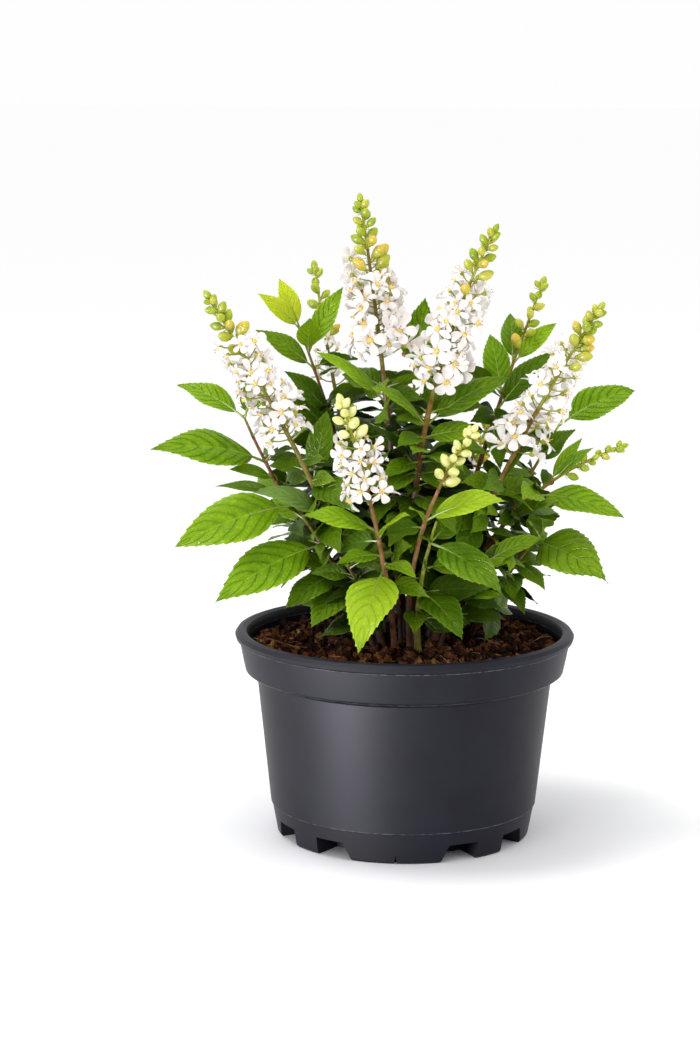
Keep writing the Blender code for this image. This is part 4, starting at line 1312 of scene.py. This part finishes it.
def pot_material():
    """Dark moulded plastic with a fine grain, pale along its edges: partly scuffs and flash, partly a painted
    highlight.
    """
    mat, graph, shader = principled("pot_look", (0.010, 0.010, 0.015), 0.46, 0.17)
    colour = graph.ramp(graph.noise(30), ((0.32, (0.005, 0.005, 0.010)), (0.68, (0.009, 0.009, 0.017))))
    spot = graph.node("ShaderNodeSeparateXYZ", graph.place())
    height = graph.times(graph.noise(45), 0.5 * MM, spot.outputs["Z"])
    # Pale lines at the lip's foot, the collar's foot and the seam: scuffs and flash, with a painted highlight
    # where the edges catch the light
    scuff_and_highlight = 0.0
    for level in SCUFF_AND_HIGHLIGHT_LEVELS:
        gap = graph.math("ABSOLUTE", graph.math("SUBTRACT", height, level + 0.25 * MM))
        scuff_and_highlight = graph.math("MAXIMUM", graph.math("LESS_THAN", gap, SCUFF_AND_HIGHLIGHT_HALF_WIDTH), scuff_and_highlight)
    patches = graph.ramp(graph.noise(300, 5.0), ((0.40, (0.10, 0.10, 0.10)), (0.75, (1.0, 1.0, 1.0))))
    scuff_and_highlight = graph.times(graph.times(scuff_and_highlight, patches), 0.45)
    graph.fill(shader.inputs["Base Color"], graph.mix(scuff_and_highlight, colour, (0.34, 0.34, 0.37)))
    graph.bump(graph.noise(260), 0.12, 0.15 * MM, shader)
    return mat


def turned(profile, sides):
    """A closed solid of revolution about Z; the profile runs from axis to axis."""
    return skin([circle(UP * height, RIGHT, BACK, radius, sides) if radius else [UP * height]
                 for radius, height in profile], quads=True)


def pot_profile():
    """From the middle of the underside, up the outside, over the lip and down inside to the floor."""
    lip_inner = RIM_RADIUS - LIP_WIDTH
    lip_foot = POT_HEIGHT - LIP_DEPTH
    outside = [(0, 0), (FOOT_RADIUS - 1.5 * MM, 0), (FOOT_RADIUS, 1.5 * MM),
               (SEAM_RADIUS - 0.8 * MM, SEAM - 0.6 * MM), (SEAM_RADIUS, SEAM),
               (SHOULDER_RADIUS, SHOULDER), (COLLAR_RADIUS - 3.0 * MM, COLLAR_FOOT),
               (COLLAR_RADIUS - 0.8 * MM, COLLAR_FOOT + 1.6 * MM),
               (COLLAR_RADIUS, COLLAR_FOOT + 5 * MM), (COLLAR_TOP_RADIUS, lip_foot)]
    middle_radius = RIM_RADIUS - LIP_WIDTH / 2
    lip = []
    for k in range(6):
        angle = math.radians(-35 + 215 * k / 5)
        lip.append((middle_radius + math.cos(angle) * LIP_WIDTH / 2,
                    POT_HEIGHT - LIP_DEPTH * 0.52 + math.sin(angle) * LIP_DEPTH * 0.52))
    inside = [(lip_inner + 0.2 * MM, lip_foot - 1.0 * MM),
              (COLLAR_RADIUS - WALL * 1.4, COLLAR_FOOT + 2 * MM),
              (SHOULDER_RADIUS - WALL, SHOULDER - 2.5 * MM),
              (SEAM_RADIUS - WALL, FEET_TOP + 3 * MM), (SEAM_RADIUS - WALL - 2 * MM, FEET_TOP),
              (FEET_INNER_RADIUS, FEET_TOP), (FEET_INNER_RADIUS - 3 * MM, FLOOR), (0, FLOOR)]
    return outside + lip + inside


def notch_outline(slant_side):
    """Upright on the narrow foot's side and slanting on the wide foot's side."""
    half = NOTCH_WIDTH / 2
    below = -3 * MM
    slope = NOTCH_SLANT * (NOTCH_HEIGHT - below) / NOTCH_HEIGHT
    outline = [(-half, below), (-half, NOTCH_HEIGHT), (half, NOTCH_HEIGHT), (half + slope, below)]
    return [(u * slant_side, v) for u, v in outline]


def make_pot():
    """The part's pot turned again with more sides, and its notches cut again."""
    mesh = new_mesh("pot_fine", *turned(pot_profile(), POT_FINE_SIDES))
    pot = dress("pot_fine", mesh, pot_material(), "pot_plastic", "pot")
    slit = [(-SLIT_WIDTH / 2, -3 * MM), (0, SLIT_HEIGHT), (SLIT_WIDTH / 2, -3 * MM)]
    cutters = []
    for quarter in range(4):
        foot = FEET_TURN + quarter * math.pi / 2
        for way in (-1, 1):
            cutters.append(radial_cutter(f"notch_{quarter}_{way + 1}", foot + way * NOTCH_OFFSET,
                                         notch_outline(-way), FEET_INNER_RADIUS, RIM_RADIUS))
        cutters.append(radial_cutter(f"slit_{quarter}", foot, slit, FOOT_RADIUS - SLIT_DEPTH, RIM_RADIUS))
    cut_out(pot, cutters)
    pot.data.shade_smooth()
    pot.data.set_sharp_from_angle(angle=math.radians(32))


def cut_out(pot, cutters):
    """Take the cutters out of the pot's mesh for good, and remove them."""
    group = bpy.data.collections.new("pot_cutters")
    bpy.context.scene.collection.children.link(group)
    for cutter in cutters:
        group.objects.link(cutter)
    cut = pot.modifiers.new("notches", "BOOLEAN")
    cut.operation = "DIFFERENCE"
    cut.operand_type = "COLLECTION"
    cut.collection = group
    cut.solver = "MANIFOLD"
    bpy.context.view_layer.update()
    graph = bpy.context.evaluated_depsgraph_get()
    mesh = bpy.data.meshes.new_from_object(pot.evaluated_get(graph))
    pot.modifiers.clear()
    pot.data = mesh
    for cutter in cutters:
        bpy.data.objects.remove(cutter, do_unlink=True)
    bpy.data.collections.remove(group)


def radial_cutter(name, angle, outline, inner, outer):
    """A prism with an outline across the radius, running outward at the given bearing."""
    out = Vector((math.sin(angle), -math.cos(angle), 0))
    side = Vector((math.cos(angle), math.sin(angle), 0))
    near = [out * inner + side * u + UP * v for u, v in outline]
    far = [out * outer + side * u + UP * v for u, v in outline]
    mesh = new_mesh(name, *skin([near, far]))
    bm = bmesh.new()
    bm.from_mesh(mesh)
    bmesh.ops.recalc_face_normals(bm, faces=bm.faces)
    bm.to_mesh(mesh)
    bm.free()
    return bpy.data.objects.new(name, mesh)


def make_soil():
    """Dark peat with a crumbly top: a lumpy surface, loose crumbs and clods, and a few pale fibres."""
    dice = random.Random(SOIL_SEED)
    make_earth()
    make_crumbs(dice)
    make_fibres(dice)


def make_earth():
    """The filled inside of the pot."""
    rings = [circle(UP * height, RIGHT, BACK, SOIL_RADIUS * share, SOIL_FINE_SIDES)
             for share, height in SOIL_LEVELS]
    for k in range(SOIL_FINE_RINGS):
        away = SOIL_RADIUS * (1 - (k / SOIL_FINE_RINGS) ** 1.1)
        ring = circle(UP * SOIL_TOP, RIGHT, BACK, max(away, 1 * MM), SOIL_FINE_SIDES)
        for point in ring:
            point.z += soil_rise(point)
        rings.append(ring)
    earth = Pile()
    loft(earth, rings)
    peat = speckled("peat_look", *PEAT_COLOURS, 260, 0.95, 0.9, 1.5 * MM, 0.05)
    earth.build("soil_fine", peat, "soil", "soil")


def make_crumbs(dice):
    crumbs = {kind: Pile() for kind in CRUMB_COLOURS}
    for _ in range(SOIL_CRUMBS):
        kind = dice.choice(CRUMB_MIX)
        size = mostly_small(dice, *CRUMB_SIZE)
        shard(crumbs[kind], soil_spot(dice), size * (0.5 if kind == "pale" else 1), dice)
    ball = bmesh.new()
    bmesh.ops.create_icosphere(ball, subdivisions=2, radius=1)
    for _ in range(SOIL_CLODS):
        size = mostly_small(dice, *CLOD_SIZE)
        clod(crumbs[dice.choice(CLOD_MIX)], ball, soil_spot(dice) - UP * 0.2 * size, size, dice)
    ball.free()
    for kind, pile in crumbs.items():
        look = speckled("crumb_" + kind + "_look", *CRUMB_COLOURS[kind], 260, 0.9, 0.9, 0.8 * MM, 0.05)
        pile.build("crumbs_" + kind, look, "soil", crease=25)


def make_fibres(dice):
    fibres = Pile()
    for _ in range(SOIL_FIBRES):
        place = soil_spot(dice) + UP * 1.2 * MM
        way = Vector((dice.uniform(-1, 1), dice.uniform(-1, 1), dice.uniform(-0.1, 0.25))).normalized()
        length = dice.uniform(*FIBRE_LENGTH)
        bend = Vector([dice.uniform(-1, 1) for _ in range(3)]) * 0.15 * length
        points = [place, place + way * length / 2 + bend, place + way * length]
        tube(fibres, points, [0.2 * MM, 0.25 * MM, 0.12 * MM], 4)
    fibres.build("soil_fibres", speckled("fibre_look", *FIBRE_COLOURS, 300, 0.9), "soil")


BOX_CORNERS = ((-1, -1, -1), (1, -1, -1), (1, 1, -1), (-1, 1, -1),
               (-1, -1, 1), (1, -1, 1), (1, 1, 1), (-1, 1, 1))
BOX_FACES = ((3, 2, 1, 0), (4, 5, 6, 7), (0, 1, 5, 4), (1, 2, 6, 5), (2, 3, 7, 6), (3, 0, 4, 7))


def shard(pile, place, size, dice):
    """One angular crumb: a box pushed out of true, longer one way than the others."""
    turn = Euler([dice.uniform(0, 2 * math.pi) for _ in range(3)]).to_matrix()
    shape = Vector((1.3, dice.uniform(0.6, 1.0), dice.uniform(0.35, 0.8)))
    corners = []
    for x, y, z in BOX_CORNERS:
        jolt = Vector([dice.uniform(0.45, 1.1) for _ in range(3)])
        corner = Vector((x * shape.x * jolt.x, y * shape.y * jolt.y, z * shape.z * jolt.z)) * (size * 0.75)
        corners.append(place + turn @ corner)
    pile.add(corners, BOX_FACES)


def clod(pile, ball, place, size, dice):
    """A lump of peat: a flattened ball dented by rough noise."""
    turn = Euler((dice.uniform(-0.3, 0.3), dice.uniform(-0.3, 0.3), dice.uniform(0, 6.28))).to_matrix()
    stretch = Vector((dice.uniform(1.0, 1.6), dice.uniform(0.7, 1.1), dice.uniform(0.5, 0.8)))
    start = Vector([dice.uniform(0, 50) for _ in range(3)])
    points = []
    for vert in ball.verts:
        rough = 1 + 0.6 * noise.fractal(vert.co * 1.9 + start, 0.6, 2.2, 4)
        points.append(place + turn @ (vert.co * stretch) * (size * rough))
    pile.add(points, [[vert.index for vert in face.verts] for face in ball.faces])


def mostly_small(dice, least, more, power):
    """A random size between two, the small ones the commonest."""
    return (least + more * dice.random() ** power) * MM


def soil_rise(point):
    rough = noise.fractal(Vector((point.x, point.y, 0)) * 120, 0.8, 2.1, 5)
    return (0.6 + 3.4 * rough) * MM


def soil_spot(dice):
    away = math.sqrt(dice.random()) * (SOIL_RADIUS - 4 * MM)
    angle = dice.uniform(0, 2 * math.pi)
    place = Vector((math.cos(angle) * away, math.sin(angle) * away, SOIL_TOP))
    return place + UP * (soil_rise(place) + dice.uniform(-0.6, 0.8) * MM)


# Floor, light and camera

SQUARE = ((-1, -1), (1, -1), (1, 1), (-1, 1))
FLOOR_HALF = 60.0
FLOOR_WHITE = (0.99, 0.99, 0.995)
# Painted shadow round the pot: the floor's grey near the pot, and the distances in metres over which it fades
# to white
FLOOR_PAINTED_SHADOW = (0.89, 0.89, 0.915)
PAINTED_SHADOW_FADE = (0.08, 0.26)
SKY_STRENGTH = 0.99

# Soft boxes: place, target, size and power
LAMPS = {
    "key": ((-0.6, -0.05, 1.9), (0, 0, 0.2), 0.6, 13),
    "front": ((-0.8, -1.4, 0.9), (0, 0, 0.2), 0.8, 5),
    "fill": ((1.5, -0.9, 0.9), (0, 0, 0.15), 0.8, 3),
    "gloss": ((-0.58, -0.66, 0.12), (0, 0, 0.09), 0.38, 78),
}


def make_stage():
    """A wide white floor under a white sky, with a painted shadow: a little greyer where the pot stands."""
    mesh = new_mesh("floor", [(x * FLOOR_HALF, y * FLOOR_HALF, 0) for x, y in SQUARE], [(0, 1, 2, 3)])
    mat, graph, shader = principled("floor_white", FLOOR_WHITE, 0.8, 0.0)
    away = graph.node("ShaderNodeVectorMath", graph.place(), operation="LENGTH").outputs["Value"]
    # Painted shadow: the floor is greyer near the pot and white further out
    near = graph.node("ShaderNodeMapRange", away, *PAINTED_SHADOW_FADE, 0.0, 1.0, interpolation_type="SMOOTHSTEP")
    graph.fill(shader.inputs["Base Color"], graph.mix(near.outputs[0], FLOOR_PAINTED_SHADOW, FLOOR_WHITE))
    mesh.materials.append(mat)
    obj = bpy.data.objects.new("floor", mesh)
    bpy.context.scene.collection.objects.link(obj)


def make_light():
    """A bright even sky, a soft box at the upper left for the shadow and one at the left for the gloss."""
    world = bpy.data.worlds.new("studio")
    world.use_nodes = True
    world.node_tree.nodes["Background"].inputs["Color"].default_value = (1.0, 1.0, 1.0, 1)
    world.node_tree.nodes["Background"].inputs["Strength"].default_value = SKY_STRENGTH
    bpy.context.scene.world = world
    for name, lamp in LAMPS.items():
        area_light(name, *lamp)
    gloss = bpy.data.objects["gloss"]
    gloss.data.color = (0.90, 0.88, 1.0)
    gloss.visible_diffuse = False


def area_light(name, place, target, size, power):
    lamp = bpy.data.lights.new(name, "AREA")
    lamp.size = size
    lamp.energy = power
    obj = bpy.data.objects.new(name, lamp)
    obj.location = place
    way = Vector(target) - Vector(place)
    obj.rotation_euler = way.to_track_quat("-Z", "Y").to_euler()
    bpy.context.scene.collection.objects.link(obj)


def make_camera():
    forward = Vector((math.sin(CAMERA_YAW) * math.cos(CAMERA_PITCH),
                      math.cos(CAMERA_YAW) * math.cos(CAMERA_PITCH), -math.sin(CAMERA_PITCH)))
    level = Vector((math.cos(CAMERA_YAW), -math.sin(CAMERA_YAW), 0))
    upright = level.cross(forward)
    right = level * math.cos(CAMERA_ROLL) + upright * math.sin(CAMERA_ROLL)
    top = upright * math.cos(CAMERA_ROLL) - level * math.sin(CAMERA_ROLL)
    camera = bpy.data.objects.new("camera", bpy.data.cameras.new("camera"))
    camera.data.lens = CAMERA_LENS
    camera.data.sensor_width = 36
    camera.data.clip_start = 0.01
    turn = Matrix((right, top, -forward)).transposed().to_4x4()
    camera.matrix_world = Matrix.Translation(CAMERA_PLACE) @ turn
    bpy.context.scene.collection.objects.link(camera)
    bpy.context.scene.camera = camera


bpy.context.scene.view_settings.view_transform = "Standard"
noise.seed_set(WANDER_SEED)
make_stage()
make_light()
make_camera()
make_pot()
make_soil()
make_plant()
